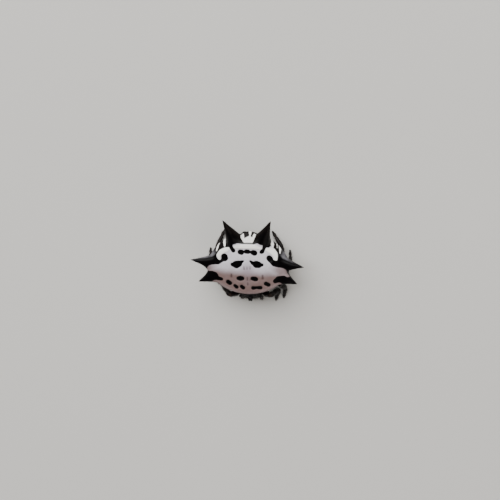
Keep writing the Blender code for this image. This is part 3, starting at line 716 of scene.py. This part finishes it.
def carapace_shape(direction):
    """A high, squarish head that falls to a broad chest, with the groove between them."""
    squareness = CHEST_SQUARENESS + (HEAD_SQUARENESS - CHEST_SQUARENESS) * smoothstep(-2 * direction.y)
    x = power(direction.x, squareness)
    y = power(direction.y, squareness)
    forward = smoothstep((-y - 0.05) / 0.75)
    half_width = CARAPACE_HALF_WIDTH + (HEAD_HALF_WIDTH - CARAPACE_HALF_WIDTH) * forward
    place = Vector((x * half_width, CARAPACE_MIDDLE_Y + y * CARAPACE_HALF_LENGTH, 0))
    if direction.z < 0:
        place.z = CARAPACE_RIM + (CARAPACE_RIM - CARAPACE_FLOOR) * power(direction.z, 0.5)
        return place
    height = CARAPACE_TOP - CARAPACE_RIM
    chest = 0.62 + 0.38 * smoothstep((0.35 - y) / 0.7)
    neck = 0.14 * math.exp(-(((y - 0.12 - 0.25 * abs(x)) / 0.09) ** 2))
    grain = 0.03 * noise.noise(place * 5) * direction.z
    place.z = CARAPACE_RIM + height * (chest * power(direction.z, 0.75) - neck * direction.z + grain)
    return place


def sternum_shape(direction):
    """A shield, widest ahead of its middle and pointed behind, with a knob toward each hip."""
    x, y, z = (power(part, 0.8) for part in direction)
    half_width = STERNUM_HALF_WIDTH * (1 - 0.35 * smoothstep(y))
    middle = (STERNUM_TOP + STERNUM_UNDERSIDE) / 2
    half_height = (STERNUM_TOP - STERNUM_UNDERSIDE) / 2
    bearing = math.atan2(y, abs(x))
    knobs = 1 + 0.06 * math.cos(bearing * 5.2 + 1.0) * math.hypot(x, y)
    return Vector(
        (x * half_width * knobs, STERNUM_MIDDLE_Y + y * STERNUM_HALF_LENGTH, middle + z * half_height)
    )


def swollen(start, end, swell, tuck=0.82):
    """A radius that runs from start to end, swells between them and tucks in at both ends."""

    def radius(share):
        width = start + (end - start) * share
        width *= 1 + swell * math.sin(math.pi * min(1, max(0, share)))
        ends = smoothstep(min(share, 1 - share) / 0.08)
        return width * (tuck + (1 - tuck) * ends)

    return radius


def eye_cluster(middle, facing, knob_half, beads):
    """A low knob of shell with separate eyes set in it. Each bead: across, up, radius."""
    place = Matrix.Translation(middle) @ turned(facing, "Y", "Z")
    bm = bmesh.new()
    add_ball(bm, 5, knob_half, place)
    for across, up, radius in beads:
        off_centre = (across / knob_half[0]) ** 2 + (up / knob_half[2]) ** 2
        forward = knob_half[1] * math.sqrt(max(0.05, 1 - off_centre))
        seat = place @ Matrix.Translation((across, forward - radius * 0.15, up))
        add_ball(bm, 4, (radius * 1.22, radius * 0.55, radius * 1.22), seat)
        add_ball(bm, 4, (radius,) * 3, seat @ Matrix.Translation((0, radius * 0.15, 0)), 1)
    return bm


# The legs


def elbow(start, end, first, second, lean):
    """Where two bones of these lengths meet between start and end, bent upwards and leaned over by lean."""
    chord = end - start
    reach = min(chord.length, 0.995 * (first + second))
    along = (first**2 - second**2 + reach**2) / (2 * reach)
    rise = math.sqrt(max(0.0, first**2 - along**2))
    axis = chord.normalized()
    up = (Vector((0, 0, 1)) - axis * axis.z).normalized()
    up.rotate(Matrix.Rotation(lean, 3, axis))
    return start + axis * along + up * rise


def leg_corners(pair, side):
    """The joints of one leg, from its hip under the chest to its foot on the floor."""
    sizes, pose = LEG_PAIRS[pair], STANCE[pair, side]
    place, way = sizes["hip"]
    round_edge = math.radians(place)
    across = side * STERNUM_HALF_WIDTH * math.cos(round_edge)
    along = STERNUM_MIDDLE_Y + STERNUM_HALF_LENGTH * math.sin(round_edge)
    hip = Vector((across, along, COXA_HEIGHT)) + heading(way, 0, side) * HIP_GAP
    coxa, femur, patella, tibia, metatarsus, tarsus = sizes["bones"]
    joint = hip + heading(way, 0, side) * coxa
    knee = joint + heading(*pose["femur"], side) * femur
    foot = Vector((*pose["foot"], 0))
    foot_top = foot + Vector((0, 0, TIP_HEIGHT))
    shank = patella + tibia
    lower = metatarsus + tarsus
    ankle = elbow(knee, foot_top, shank, lower, math.radians(pose["lean"]))
    patella_end = knee.lerp(ankle, patella / shank) + Vector((0, 0, PATELLA_LIFT))
    tarsus_start = ankle.lerp(foot_top, metatarsus / lower)
    return [hip, joint, knee, patella_end, ankle, tarsus_start, foot]


def bone_radius(bone, girth):
    """The radius of one leg segment at each share of its length."""
    _, start, middle, end = BONES[bone]

    def radius(share):
        share = min(1.0, max(0.0, share))
        if share < 0.4:
            width = start + (middle - start) * math.sin(share / 0.4 * math.pi / 2)
        else:
            width = middle + (end - middle) * smoothstep((share - 0.4) / 0.6)
        ends = smoothstep(min(share, 1 - share) / 0.05)
        return girth * width * (0.86 + 0.14 * ends)

    return radius


def make_leg_mesh(pair, side):
    """One jointed leg: six hard segments, soft skin between them, and two claws at the foot."""
    corners = leg_corners(pair, side)
    girth = LEG_PAIRS[pair]["girth"]
    corners[0] = corners[0] - heading(LEG_PAIRS[pair]["hip"][1], 0, side) * (HIP_GAP + 0.1)
    bm = bmesh.new()
    for bone, (start, end) in enumerate(zip(corners, corners[1:])):
        way = (end - start).normalized()
        inner = start + way * (JOINT_GAP if bone else 0)
        outer = end - way * (JOINT_GAP if bone < 5 else 0.06)
        merge_into(bm, spindle(inner, outer, bone_radius(bone, girth), 20, 16))
        if bone:
            before = (start - corners[bone - 1]).normalized()
            width = girth * BONES[bone][1] * 0.86
            skin = [start - before * SKIN_REACH, start, start + way * SKIN_REACH]
            merge_into(bm, curved_form(skin, [width * 0.8, width, width * 0.8], 16), 1)
    foot = corners[-1]
    for turn in (-1, 1):
        claw = [foot + Vector((turn * across, along, up)) for across, along, up in CLAW]
        merge_into(bm, curved_form(claw, CLAW_RADII, 8), 2)
    add_ball(bm, 3, PAD_HALF_SIZE, Matrix.Translation(foot + Vector((0, 0, PAD_HALF_SIZE[2]))))
    for vert in bm.verts:
        vert.co.z = max(vert.co.z, 0.0)
    return bm


def feeler_corners(side):
    return [Vector((side * across, MOUTH_Y - forward, height)) for across, forward, height in FEELER]


# The hairs

# The radius of each kind at the root, and the tip's as a share of it
HAIR_RADIUS = {"leg": 0.011, "head": 0.009, "face": 0.013, "feeler": 0.012, "belly": 0.009}
HAIR_TAPER = 0.12
# How far out of the skin the middle of a hair is, as a share of its length
HAIR_MIDDLE = 0.42
# How far the leg bristles stay above the floor
FLOOR_CLEARANCE = 0.02
# The size of a hair's patch on the unwrap
PATCH_SIZE = 0.0015


def spot_on_limb(start, end, share, radius, around):
    """A spot on the skin of a limb's segment, the way out of the skin there, and the way along the segment."""
    way = (end - start).normalized()
    out = way.to_track_quat("Z", "Y") @ Vector((math.cos(around), math.sin(around), 0))
    return start.lerp(end, share) + out * radius, out, way


class Coat:
    """Gathers hairs of one kind in one bmesh."""

    def __init__(self, kind):
        self.radius = HAIR_RADIUS[kind]
        self.bm = bmesh.new()
        self.uv_layer = self.bm.loops.layers.uv.new("OFBake")

    def add(self, root, way, length, u, v):
        """One tapered hair of three sides, whose patch on the unwrap is around (u, v)."""
        hair = bmesh.ops.create_cone(
            self.bm, cap_ends=True, segments=3, radius1=self.radius, radius2=self.radius * HAIR_TAPER,
            depth=length, matrix=Matrix.Translation(root + way * (length * HAIR_MIDDLE)) @ turned(way),
        )
        for face in {face for vert in hair["verts"] for face in vert.link_faces}:
            for number, loop in enumerate(face.loops):
                angle = number * 2.1
                shift = Vector((math.cos(angle), math.sin(angle))) * PATCH_SIZE
                loop[self.uv_layer].uv = Vector((u, v)) + shift


def make_leg_bristles(legs, rng):
    """Bristles on every segment of the legs beyond the hip."""
    coat = Coat("leg")
    for number, (pair, side) in enumerate(STANCE):
        corners = leg_corners(pair, side)
        girth = LEG_PAIRS[pair]["girth"]
        lengths = [(b - a).length for a, b in zip(corners, corners[1:])]
        for _ in range(legs.bristle_count):
            bone = rng.choices(range(1, 6), weights=lengths[1:])[0]
            share, around = rng.uniform(0.06, 0.94), rng.uniform(0, math.tau)
            radius = bone_radius(bone, girth)(share) * 0.92
            root, out, way = spot_on_limb(*corners[bone : bone + 2], share, radius, around)
            lie = (out * 0.55 + way * 0.85).normalized()
            length = legs.bristle_length / MM * rng.uniform(0.6, 1.1) * (0.7 if bone == 5 else 1)
            if root.z + lie.z * length < FLOOR_CLEARANCE:
                continue
            u = (number + 0.05 + 0.9 * (bone - 1 + share) / 5) / 8
            coat.add(root, lie, length, u, 0.05 + 0.4 * around / math.tau)
    return coat.bm


def make_head_hairs(head, rng):
    """Short pale hairs that lie forward over the head shield."""
    coat = Coat("head")
    for _ in range(head.hair_count):
        direction = Vector((rng.gauss(0, 1), rng.gauss(0, 1), abs(rng.gauss(0, 0.8)) + 0.15)).normalized()
        root = carapace_shape(direction)
        out = (root - Vector((0, CARAPACE_MIDDLE_Y, CARAPACE_RIM - 0.6))).normalized()
        lie = (out + Vector((rng.uniform(-0.4, 0.4), -0.7 + rng.uniform(-0.3, 0.3), 0))).normalized()
        length = head.hair_length / MM * rng.uniform(0.6, 1.2)
        coat.add(root, lie, length, 0.5 + 0.45 * direction.x, 0.5 + 0.45 * direction.y)
    return coat.bm


def make_face_hairs(head, rng):
    """Dense dark hairs: a fringe along the head's front edge, and a coat on each feeler."""
    coat = Coat("face")
    for _ in range(head.fringe_count):
        across = rng.uniform(-1, 1)
        turn = math.radians(66 * across)
        direction = Vector((math.sin(turn), -math.cos(turn), rng.uniform(0.0, 0.45))).normalized()
        spread = rng.uniform(-0.2, 0.2)
        lie = Vector((1.3 * across**3 + spread, -1, rng.uniform(-0.75, -0.1))).normalized()
        length = head.fringe_length / MM * rng.uniform(0.6, 1.1)
        coat.add(carapace_shape(direction), lie, length, 0.25 + 0.2 * across, 0.25 + 0.4 * direction.z)
    coat.radius = HAIR_RADIUS["feeler"]
    for number, (_, side) in enumerate(SIDES):
        corners = feeler_corners(side)
        for _ in range(head.fringe_count // 2):
            bone = rng.randrange(len(corners) - 1)
            share, around = rng.random(), rng.uniform(0, math.tau)
            root, out, way = spot_on_limb(*corners[bone : bone + 2], share, 0.13, around)
            length = head.fringe_length / MM * rng.uniform(0.45, 0.8)
            v = 0.05 + 0.45 * number + 0.4 * around / math.tau
            coat.add(root, (out + way).normalized(), length, 0.55 + 0.1 * (bone + share), v)
    return coat.bm


def make_belly_hairs(sizes, rng):
    """Sparse dark hairs on the black of the abdomen: its wall, belly and spines."""
    coat = Coat("belly")
    roots = spine_roots()
    for _ in range(sizes.hair_count):
        turn, way = rng.uniform(-math.pi, math.pi), rng.uniform(0.53, 0.93)
        if rng.random() < 0.45:
            around, off = rng.uniform(0, math.tau), rng.uniform(0.03, 0.12)
            root = rng.choice(roots)[0]
            turn = math.atan2(root[1], root[0]) + off * math.cos(around)
            way = math.acos(root[2]) / math.pi + off * 0.32 * math.sin(around)
        corners = []
        for more_turn, more_way in ((0, 0), (0.002, 0), (0, 0.001)):
            angle = (way + more_way) * math.pi
            level = math.sin(angle)
            place = (level * math.cos(turn + more_turn), level * math.sin(turn + more_turn), math.cos(angle))
            grown, drawn = drawn_spines(abdomen_skin(np.array([place])), roots)
            corners.append(Vector(grown[0]))
        if wall_distance(turn, way) > -0.3 and drawn[0] < 0.6:
            continue
        out = (corners[2] - corners[0]).cross(corners[1] - corners[0]).normalized()
        lie = (out + Vector((0, 0.5, -0.3))).normalized()
        length = sizes.hair_length / MM * rng.uniform(0.6, 1.1)
        coat.add(corners[0] - out * 0.01, lie, length, 0.5 + 0.45 * turn / math.pi, 0.05 + 0.9 * way)
    coat.bm.transform(back_frame())
    return coat.bm


# Finishes


class Nodes:
    """Builds a material or a world out of shader nodes."""

    def __init__(self, owner, shader):
        owner.use_nodes = True
        self.owner = owner
        self.tree = owner.node_tree
        self.shader = self.tree.nodes[shader]

    def node(self, kind, **inputs):
        made = self.tree.nodes.new("ShaderNode" + kind)
        self.fill(made, inputs)
        return made

    def fill(self, made, inputs):
        for name, value in inputs.items():
            self.feed(made.inputs[name.replace("_", " ")], value)

    def feed(self, socket, value):
        if isinstance(value, bpy.types.NodeSocket):
            self.tree.links.new(value, socket)
        elif hasattr(value, "__len__") and len(value) == 3 and socket.type == "RGBA":
            socket.default_value = (*value, 1.0)
        else:
            socket.default_value = value

    def place(self, kind="Object"):
        return self.node("TexCoord").outputs[kind]

    def attribute(self, name):
        made = self.node("Attribute")
        made.attribute_name = name
        return made.outputs["Fac"]

    def maths(self, operation, first, second=0.0, clamp=False):
        made = self.node("Math")
        made.operation = operation
        made.use_clamp = clamp
        self.feed(made.inputs[0], first)
        self.feed(made.inputs[1], second)
        return made.outputs[0]

    def spread(self, value, low, high, new_low=0.0, new_high=1.0):
        """value mapped smoothly from low..high to new_low..new_high."""
        made = self.node(
            "MapRange", Value=value, From_Min=low, From_Max=high, To_Min=new_low, To_Max=new_high
        )
        made.interpolation_type = "SMOOTHSTEP"
        return made.outputs["Result"]

    def mix(self, share, first, second, kind="RGBA"):
        made = self.node("Mix")
        made.data_type = kind
        sockets = {"FLOAT": (0, 2, 3, 0), "RGBA": (0, 6, 7, 2)}[kind]
        for number, value in zip(sockets, (share, first, second)):
            self.feed(made.inputs[number], value)
        return made.outputs[sockets[3]]

    def mottle(self, scale, detail=3.0, roughness=0.5):
        """Noise of this many features for each metre, from 0 to 1."""
        made = self.node("TexNoise", Vector=self.place(), Scale=scale, Detail=detail, Roughness=roughness)
        return made.outputs["Fac"]

    def pores(self, scale, width, depth, strength):
        """The normal of many small pits."""
        cells = self.node("TexVoronoi", Vector=self.place(), Scale=scale).outputs["Distance"]
        return self.bump(self.spread(cells, 0.05, width), depth, strength)

    def bump(self, height, distance, strength=1.0, over=None):
        made = self.node("Bump", Height=height, Distance=distance, Strength=strength)
        if over is not None:
            self.feed(made.inputs["Normal"], over)
        return made.outputs["Normal"]

    def set(self, **values):
        self.fill(self.shader, values)
        return self.owner


def new_finish(name):
    return Nodes(bpy.data.materials.new(name), "Principled BSDF")


def lighter(colour, times):
    return [min(1.0, part * times) for part in colour]


def abdomen_finish(colours):
    """Waxy white enamel that turns to mauve and brownish pink, partly painted shade, with sharp-edged black.
    """
    finish = new_finish("abdomen_enamel")
    wobble = finish.maths("MULTIPLY", finish.mottle(3600, 2.0), 0.05)
    cloud = finish.maths("MULTIPLY", finish.maths("SUBTRACT", finish.mottle(900, 4.0, 0.6), 0.5), 0.35)

    def edged(name, low, high):
        edge = finish.maths("SUBTRACT", finish.maths("ADD", finish.attribute(name), wobble), 0.025)
        return finish.spread(edge, low, high)

    def cloudy(name):
        return finish.maths("ADD", finish.attribute(name), cloud, clamp=True)

    # From lilac white through mauve to brownish pink toward the head: partly the back's own tint, partly
    # painted shade.
    plate = finish.mix(cloudy("mid_back"), colours.plate, colours.mauve)
    plate = finish.mix(cloudy("front"), plate, colours.flush)
    fleck = finish.spread(finish.mottle(9000, 4.0, 0.65), 0.35, 0.75, 0.0, 0.30)
    plate = finish.mix(fleck, plate, finish.mix(0.5, plate, lighter(colours.flush, 0.9)))
    plate = finish.mix(finish.attribute("band"), plate, colours.rim)
    plate = finish.mix(finish.maths("MULTIPLY", finish.attribute("smudge"), 0.85), plate, colours.smudge)
    shade = finish.mix(finish.attribute("wall"), colours.mark, colours.belly)
    # A painted reflection: blue-grey in patches over the black on the tail side of the middle spines
    patchy = finish.spread(finish.mottle(1500, 4.0, 0.6), 0.35, 0.65, 0.35, 1.0)
    shade = finish.mix(finish.maths("MULTIPLY", finish.attribute("grey"), patchy), shade, colours.flank_reflection)
    shade = finish.mix(finish.attribute("groove_light"), shade, colours.rim)
    shade = finish.mix(edged("pale", -0.02, 0.03), shade, colours.rim)
    black = edged("black", -0.03, 0.035)
    rough_plate = finish.spread(finish.mottle(5200), 0.3, 0.7, 0.34, 0.46)
    rough_black = finish.spread(finish.mottle(4200), 0.3, 0.7, 0.30, 0.44)
    pits = finish.pores(6500, 0.35, 0.00001, 0.6)
    return finish.set(
        Base_Color=finish.mix(black, plate, shade),
        Roughness=finish.mix(black, rough_plate, rough_black, "FLOAT"),
        Normal=finish.bump(finish.mottle(2600, 4.0), 0.00003, 0.6, over=pits),
        Specular_IOR_Level=0.05, Coat_Weight=0.04, Coat_Roughness=0.15,
    )


def shell_finish(name, colour, paler, low, high):
    """Polished shell, paler by this many times in patches, as rough as low..high, with fine pores."""
    finish = new_finish(name)
    patches = finish.spread(finish.mottle(1600, 4.0, 0.6), 0.45, 0.8, 0.0, 0.7)
    pits = finish.pores(9000, 0.4, 0.000008, 0.5)
    return finish.set(
        Base_Color=finish.mix(patches, colour, lighter(colour, paler)),
        Roughness=finish.spread(finish.mottle(5200), 0.3, 0.7, low, high),
        Normal=finish.bump(finish.mottle(2400, 4.0), 0.00003, 0.5, over=pits),
        Specular_IOR_Level=0.10, Coat_Weight=0.03, Coat_Roughness=0.12,
    )


def leg_finishes(legs, head):
    return [
        shell_finish("leg_shell", legs.shell, 3, 0.22, 0.40),
        shell_finish("leg_joint_skin", legs.joint, 2, 0.45, 0.65),
        shell_finish("claw_horn", head.fang, 0.4, 0.2, 0.3),
    ]


def eye_finish(colour):
    finish = new_finish("eye_lens")
    tone = finish.mix(finish.spread(finish.mottle(7000), 0.4, 0.8), colour, lighter(colour, 3))
    return finish.set(Base_Color=tone, Roughness=0.05, Coat_Weight=1.0, Coat_Roughness=0.03)


def hair_finish(name, colour):
    finish = new_finish(name)
    tone = finish.mix(finish.spread(finish.mottle(3000), 0.35, 0.7), lighter(colour, 0.65), colour)
    return finish.set(Base_Color=tone, Roughness=0.5)


def floor_finish(colour):
    finish = new_finish("floor_plaster")
    tone = finish.mix(finish.mottle(40, 4.0), colour, lighter(colour, 0.96))
    grain = finish.bump(finish.mottle(1500, 4.0), 0.00002, 0.3)
    return finish.set(Base_Color=tone, Roughness=0.75, Normal=grain)


# Operators


# The marks that the abdomen's finish reads
PAINTED = ("black", "pale", "band", "mid_back", "front", "smudge", "wall", "grey", "groove_light")


class SPIDER_OT_abdomen(Operator):
    """Mould the spiny abdomen, with its white back, black spots and black spines"""

    bl_idname = "spider.abdomen"
    bl_label = "Abdomen"

    def execute(self, context):
        settings = context.scene.spider.abdomen
        bm, marks = make_abdomen_mesh(settings)
        piece = add_piece("abdomen_skin", bm, [abdomen_finish(settings)], ["abdomen"])
        for name in PAINTED:
            layer = piece.data.attributes.new(name, "FLOAT", "POINT")
            layer.data.foreach_set("value", marks[name].astype(np.float32))
        return {"FINISHED"}


class SPIDER_OT_spinnerets(Operator):
    """Make the hard ring under the belly and the six spinnerets in it"""

    bl_idname = "spider.spinnerets"
    bl_label = "Spinnerets"

    def execute(self, context):
        belly_y = PLATE_MIDDLE_Y + BELLY_SHIFT
        belly_z = PROFILE[-1][2]
        inner = back_frame()
        bm = bmesh.new()
        collar = spindle(
            inner @ Vector((0, belly_y, belly_z + 0.22)),
            inner @ Vector((0, belly_y + 0.05, belly_z - 0.42)),
            lambda share: 0.82 - 0.36 * smoothstep(share / 0.75) + 0.03 * math.sin(share * 28),
            48, 24,
        )
        merge_into(bm, collar)
        for bearing, offset, drop in ((-62, 0.30, 0.56), (0, 0.20, 0.40), (62, 0.30, 0.52)):
            for _, side in SIDES:
                out = heading(bearing, 0, side)
                root = Vector((0, belly_y + 0.05, belly_z - 0.34)) + out * offset
                knuckle = root + Vector((0, 0, -drop * 0.66)) + out * 0.03
                tip = root + Vector((0, 0, -drop)) - out * 0.08
                merge_into(bm, spindle(inner @ root, inner @ knuckle, swollen(0.19, 0.14, 0.12), 24, 10))
                merge_into(bm, spindle(inner @ knuckle, inner @ tip, swollen(0.11, 0.05, 0.1), 16, 6), 1)
        head = context.scene.spider.head
        leather = shell_finish("spinneret_leather", head.leather, 2, 0.35, 0.55)
        pale = shell_finish("spinneret_tip", lighter(head.leather, 3), 5 / 3, 0.4, 0.6)
        add_piece("spinneret_group", bm, [leather, pale], ["spinnerets"])
        return {"FINISHED"}


class SPIDER_OT_carapace(Operator):
    """Make the polished head shield"""

    bl_idname = "spider.carapace"
    bl_label = "Head Shield"

    def execute(self, context):
        head = context.scene.spider.head
        finish = shell_finish("head_shell", head.shell, 2.5, 0.16, 0.32)
        add_piece("head_shield", moulded_ball(6, carapace_shape), [finish], ["carapace"])
        return {"FINISHED"}


class SPIDER_OT_underside(Operator):
    """Make the chest plate, the mouthparts and the stalk to the abdomen"""

    bl_idname = "spider.underside"
    bl_label = "Underside"

    def execute(self, context):
        head = context.scene.spider.head
        leather = shell_finish("chest_leather", head.leather, 2, 0.3, 0.5)
        add_piece("chest_plate", moulded_ball(5, sternum_shape), [leather], ["sternum"])
        mouth = bmesh.new()
        for _, side in SIDES:
            root = Vector((side * 0.20, MOUTH_Y, 1.46))
            end = Vector((side * 0.21, MOUTH_Y - 0.02, 0.78))
            merge_into(mouth, spindle(root, end, swollen(0.19, 0.17, 0.12), 24, 10))
        lip = Vector((0, MOUTH_Y + 0.06, 1.40))
        merge_into(mouth, spindle(lip, lip + Vector((0, -0.01, -0.54)), swollen(0.20, 0.14, 0.1), 20, 8))
        add_piece("mouth_plates", mouth, [leather], ["mouthparts"])
        stalk = bmesh.new()
        rear = Vector((0, CARAPACE_MIDDLE_Y + CARAPACE_HALF_LENGTH - 0.25, CARAPACE_RIM + 0.02))
        merge_into(stalk, spindle(rear, rear + Vector((0, 1.25, -0.22)), swollen(0.30, 0.27, -0.12), 24, 12))
        add_piece("waist_stalk", stalk, [leather], ["pedicel"])
        return {"FINISHED"}


class SPIDER_OT_eyes(Operator):
    """Make the eight eyes: four on a knob in the middle and two on each front corner"""

    bl_idname = "spider.eyes"
    bl_label = "Eyes"

    def execute(self, context):
        head = context.scene.spider.head
        finishes = [
            shell_finish("eye_knob_shell", head.shell, 2.5, 0.2, 0.36),
            eye_finish(head.eye),
        ]
        front = Vector((0, HEAD_FRONT_Y - 0.10, CARAPACE_RIM + 0.32))
        beads = ((0.13, 0.09, 0.085), (-0.13, 0.09, 0.085), (0.11, -0.10, 0.09), (-0.11, -0.10, 0.09))
        middle = eye_cluster(front, Vector((0, -1, 0.1)), (0.30, 0.34, 0.25), beads)
        add_piece("eyes_of_the_middle", middle, finishes, ["eyes_middle"])
        for name, side in SIDES:
            corner = Vector((side * (HEAD_HALF_WIDTH - 0.12), HEAD_FRONT_Y + 0.13, CARAPACE_RIM + 0.18))
            pair = ((0.06, 0.04, 0.075), (-0.06, -0.04, 0.075))
            bm = eye_cluster(corner, Vector((side * 0.75, -0.66, 0.1)), (0.20, 0.24, 0.18), pair)
            add_piece("eyes_of_the_" + name, bm, finishes, ["eyes_" + name])
        return {"FINISHED"}


class SPIDER_OT_fangs(Operator):
    """Make the two stout fang bases, each with its folded fang"""

    bl_idname = "spider.fangs"
    bl_label = "Fang Bases"

    def execute(self, context):
        head = context.scene.spider.head
        finishes = [
            shell_finish("fang_base_shell", head.shell, 3, 0.16, 0.3),
            shell_finish("fang_horn", head.fang, 0.4, 0.14, 0.24),
        ]
        for name, side in SIDES:
            root = Vector((side * 0.30, HEAD_FRONT_Y - 0.05, CARAPACE_FLOOR + 0.10))
            knuckle = Vector((side * 0.305, HEAD_FRONT_Y - 0.15, 0.74))
            bm = bmesh.new()
            merge_into(bm, spindle(root, knuckle, swollen(0.27, 0.20, 0.16), 32, 16))
            fang_root = knuckle + Vector((side * 0.02, 0.02, 0.05))
            bend = fang_root + Vector((-side * 0.02, 0.05, -0.16))
            tip = fang_root + Vector((-side * 0.16, 0.10, -0.22))
            merge_into(bm, curved_form([fang_root, bend, tip], [0.10, 0.075, 0.012], 16), 1)
            add_piece("fang_base_" + name, bm, finishes, ["chelicera_" + name])
        return {"FINISHED"}


class SPIDER_OT_feelers(Operator):
    """Make the two short, jointed feelers beside the mouth"""

    bl_idname = "spider.feelers"
    bl_label = "Feelers"

    def execute(self, context):
        legs = context.scene.spider.legs
        finishes = leg_finishes(legs, context.scene.spider.head)
        for name, side in SIDES:
            bm = bmesh.new()
            corners = feeler_corners(side)
            for start, end, (first, last) in zip(corners, corners[1:], FEELER_RADII):
                merge_into(bm, spindle(start, end, swollen(first, last, 0.14, 0.7), 20, 10))
            for joint in corners[1:-1]:
                add_ball(bm, 3, (0.14,) * 3, Matrix.Translation(joint), 1)
            add_piece("feeler_" + name, bm, finishes, ["pedipalp_" + name])
        return {"FINISHED"}


class SPIDER_OT_legs(Operator):
    """Make the eight jointed legs, drawn in under the back"""

    bl_idname = "spider.legs"
    bl_label = "Legs"

    def execute(self, context):
        finishes = leg_finishes(context.scene.spider.legs, context.scene.spider.head)
        for pair in LEG_PAIRS:
            for name, side in SIDES:
                bm = make_leg_mesh(pair, side)
                add_piece(f"walking_leg_{pair}_{name}", bm, finishes, [f"leg_{pair}_{name}"])
        return {"FINISHED"}


class SPIDER_OT_hairs(Operator):
    """Set the hairs on the legs, head, face and abdomen"""

    bl_idname = "spider.hairs"
    bl_label = "Hairs"

    def execute(self, context):
        settings = context.scene.spider
        rng = random.Random(7)
        dark = hair_finish("bristle_brown", settings.legs.bristle)
        add_piece("leg_bristles", make_leg_bristles(settings.legs, rng), [dark])
        pale = hair_finish("pale_hair", settings.head.hair)
        add_piece("head_hairs", make_head_hairs(settings.head, rng), [pale])
        add_piece("face_hairs", make_face_hairs(settings.head, rng), [dark])
        add_piece("belly_hairs", make_belly_hairs(settings.abdomen, rng), [dark])
        return {"FINISHED"}


# The camera's direction from the spider, and how far the middle of the picture is from the middle of its
# back, to the picture's right and up, in millimetres
CAMERA_WAY = Vector((0.13, 0.241, 0.9615)).normalized()
PICTURE_MIDDLE = (0.27, 1.70)
# The sky's colour high up, and near the horizon
SKY_HIGH = (0.03, 0.033, 0.036)
SKY_LOW = (0.95, 0.98, 1.0)


def add_camera(distance, field_width, back):
    """The camera at the photo's viewing angle."""
    up = (Vector((0, 1, 0)) - CAMERA_WAY * CAMERA_WAY.y).normalized()
    right = up.cross(CAMERA_WAY)
    target = back + (right * PICTURE_MIDDLE[0] + up * PICTURE_MIDDLE[1]) * MM
    lens = bpy.data.cameras.new("camera")
    lens.sensor_width = 36
    lens.lens = lens.sensor_width * distance / field_width
    lens.clip_start = 0.01
    lens.clip_end = 20
    camera = add_object("camera", lens)
    turn = Matrix((right, up, CAMERA_WAY)).transposed().to_4x4()
    camera.matrix_world = Matrix.Translation(target + CAMERA_WAY * distance) @ turn
    bpy.context.scene.camera = camera


def add_light(name, place, target, size, watts, colour):
    lamp = bpy.data.lights.new(name, "AREA")
    lamp.shape = "DISK"
    lamp.size = size
    lamp.energy = watts
    lamp.color = colour
    light = add_object(name, lamp)
    light.location = place
    light.rotation_euler = (target - light.location).to_track_quat("-Z", "Y").to_euler()


def add_sky(strength):
    """Soft light from all round, brightest near the horizon."""
    sky = Nodes(bpy.data.worlds.new("sky"), "Background")
    height = sky.node("SeparateXYZ", Vector=sky.place("Generated")).outputs["Z"]
    colour = sky.mix(sky.spread(height, 0.05, 0.80), SKY_LOW, SKY_HIGH)
    bpy.context.scene.world = sky.set(Color=colour, Strength=strength)


class SPIDER_OT_stage(Operator):
    """Set the pale floor, the soft lights and the camera at the photo's viewing angle"""

    bl_idname = "spider.stage"
    bl_label = "Stage"

    def execute(self, context):
        settings = context.scene.spider.stage
        bm = bmesh.new()
        bmesh.ops.create_grid(bm, x_segments=8, y_segments=8, size=settings.floor_size / 2)
        floor = add_object("floor", new_mesh("floor", bm))
        floor.data.materials.append(floor_finish(settings.floor))
        back = animal_shift() * MM + Vector((0, 0, BACK_HEIGHT * MM))
        add_camera(settings.camera_distance, settings.field_width, back)
        add_light("key_light", (-0.08, 0.26, 0.32), back, 0.50, settings.key_power, (1.0, 0.98, 0.96))
        add_light("fill_light", (0.22, -0.26, 0.24), back, 0.45, settings.fill_power, (1.0, 0.90, 0.82))
        add_sky(settings.sky)
        return {"FINISHED"}


class SPIDER_PT_panel(Panel):
    """Lists the pieces of the spider, with their sizes and colours"""

    bl_idname = "SPIDER_PT_panel"
    bl_label = "Spiny Orb Weaver"
    bl_space_type = "VIEW_3D"
    bl_region_type = "UI"
    bl_category = "Spider"

    def draw(self, context):
        settings = context.scene.spider
        for group in (settings.abdomen, settings.head, settings.legs, settings.stage):
            column = self.layout.box().column()
            for name in group.__annotations__:
                column.prop(group, name)
        for operator in OPERATORS:
            self.layout.operator(operator.bl_idname)


OPERATORS = (
    SPIDER_OT_abdomen, SPIDER_OT_spinnerets, SPIDER_OT_carapace, SPIDER_OT_underside, SPIDER_OT_eyes,
    SPIDER_OT_fangs, SPIDER_OT_feelers, SPIDER_OT_legs, SPIDER_OT_hairs, SPIDER_OT_stage,
)
SETTINGS = (AbdomenSettings, HeadSettings, LegSettings, StageSettings, SpiderSettings)
CLASSES = (*SETTINGS, *OPERATORS, SPIDER_PT_panel)


def register():
    for made in CLASSES:
        bpy.utils.register_class(made)
    bpy.types.Scene.spider = PointerProperty(type=SpiderSettings)


def unregister():
    del bpy.types.Scene.spider
    for made in reversed(CLASSES):
        bpy.utils.unregister_class(made)


def main():
    register()
    bpy.ops.spider.abdomen()
    bpy.ops.spider.spinnerets()
    bpy.ops.spider.carapace()
    bpy.ops.spider.underside()
    bpy.ops.spider.eyes()
    bpy.ops.spider.fangs()
    bpy.ops.spider.feelers()
    bpy.ops.spider.legs()
    bpy.ops.spider.hairs()
    bpy.ops.spider.stage()


if __name__ == "__main__":
    main()
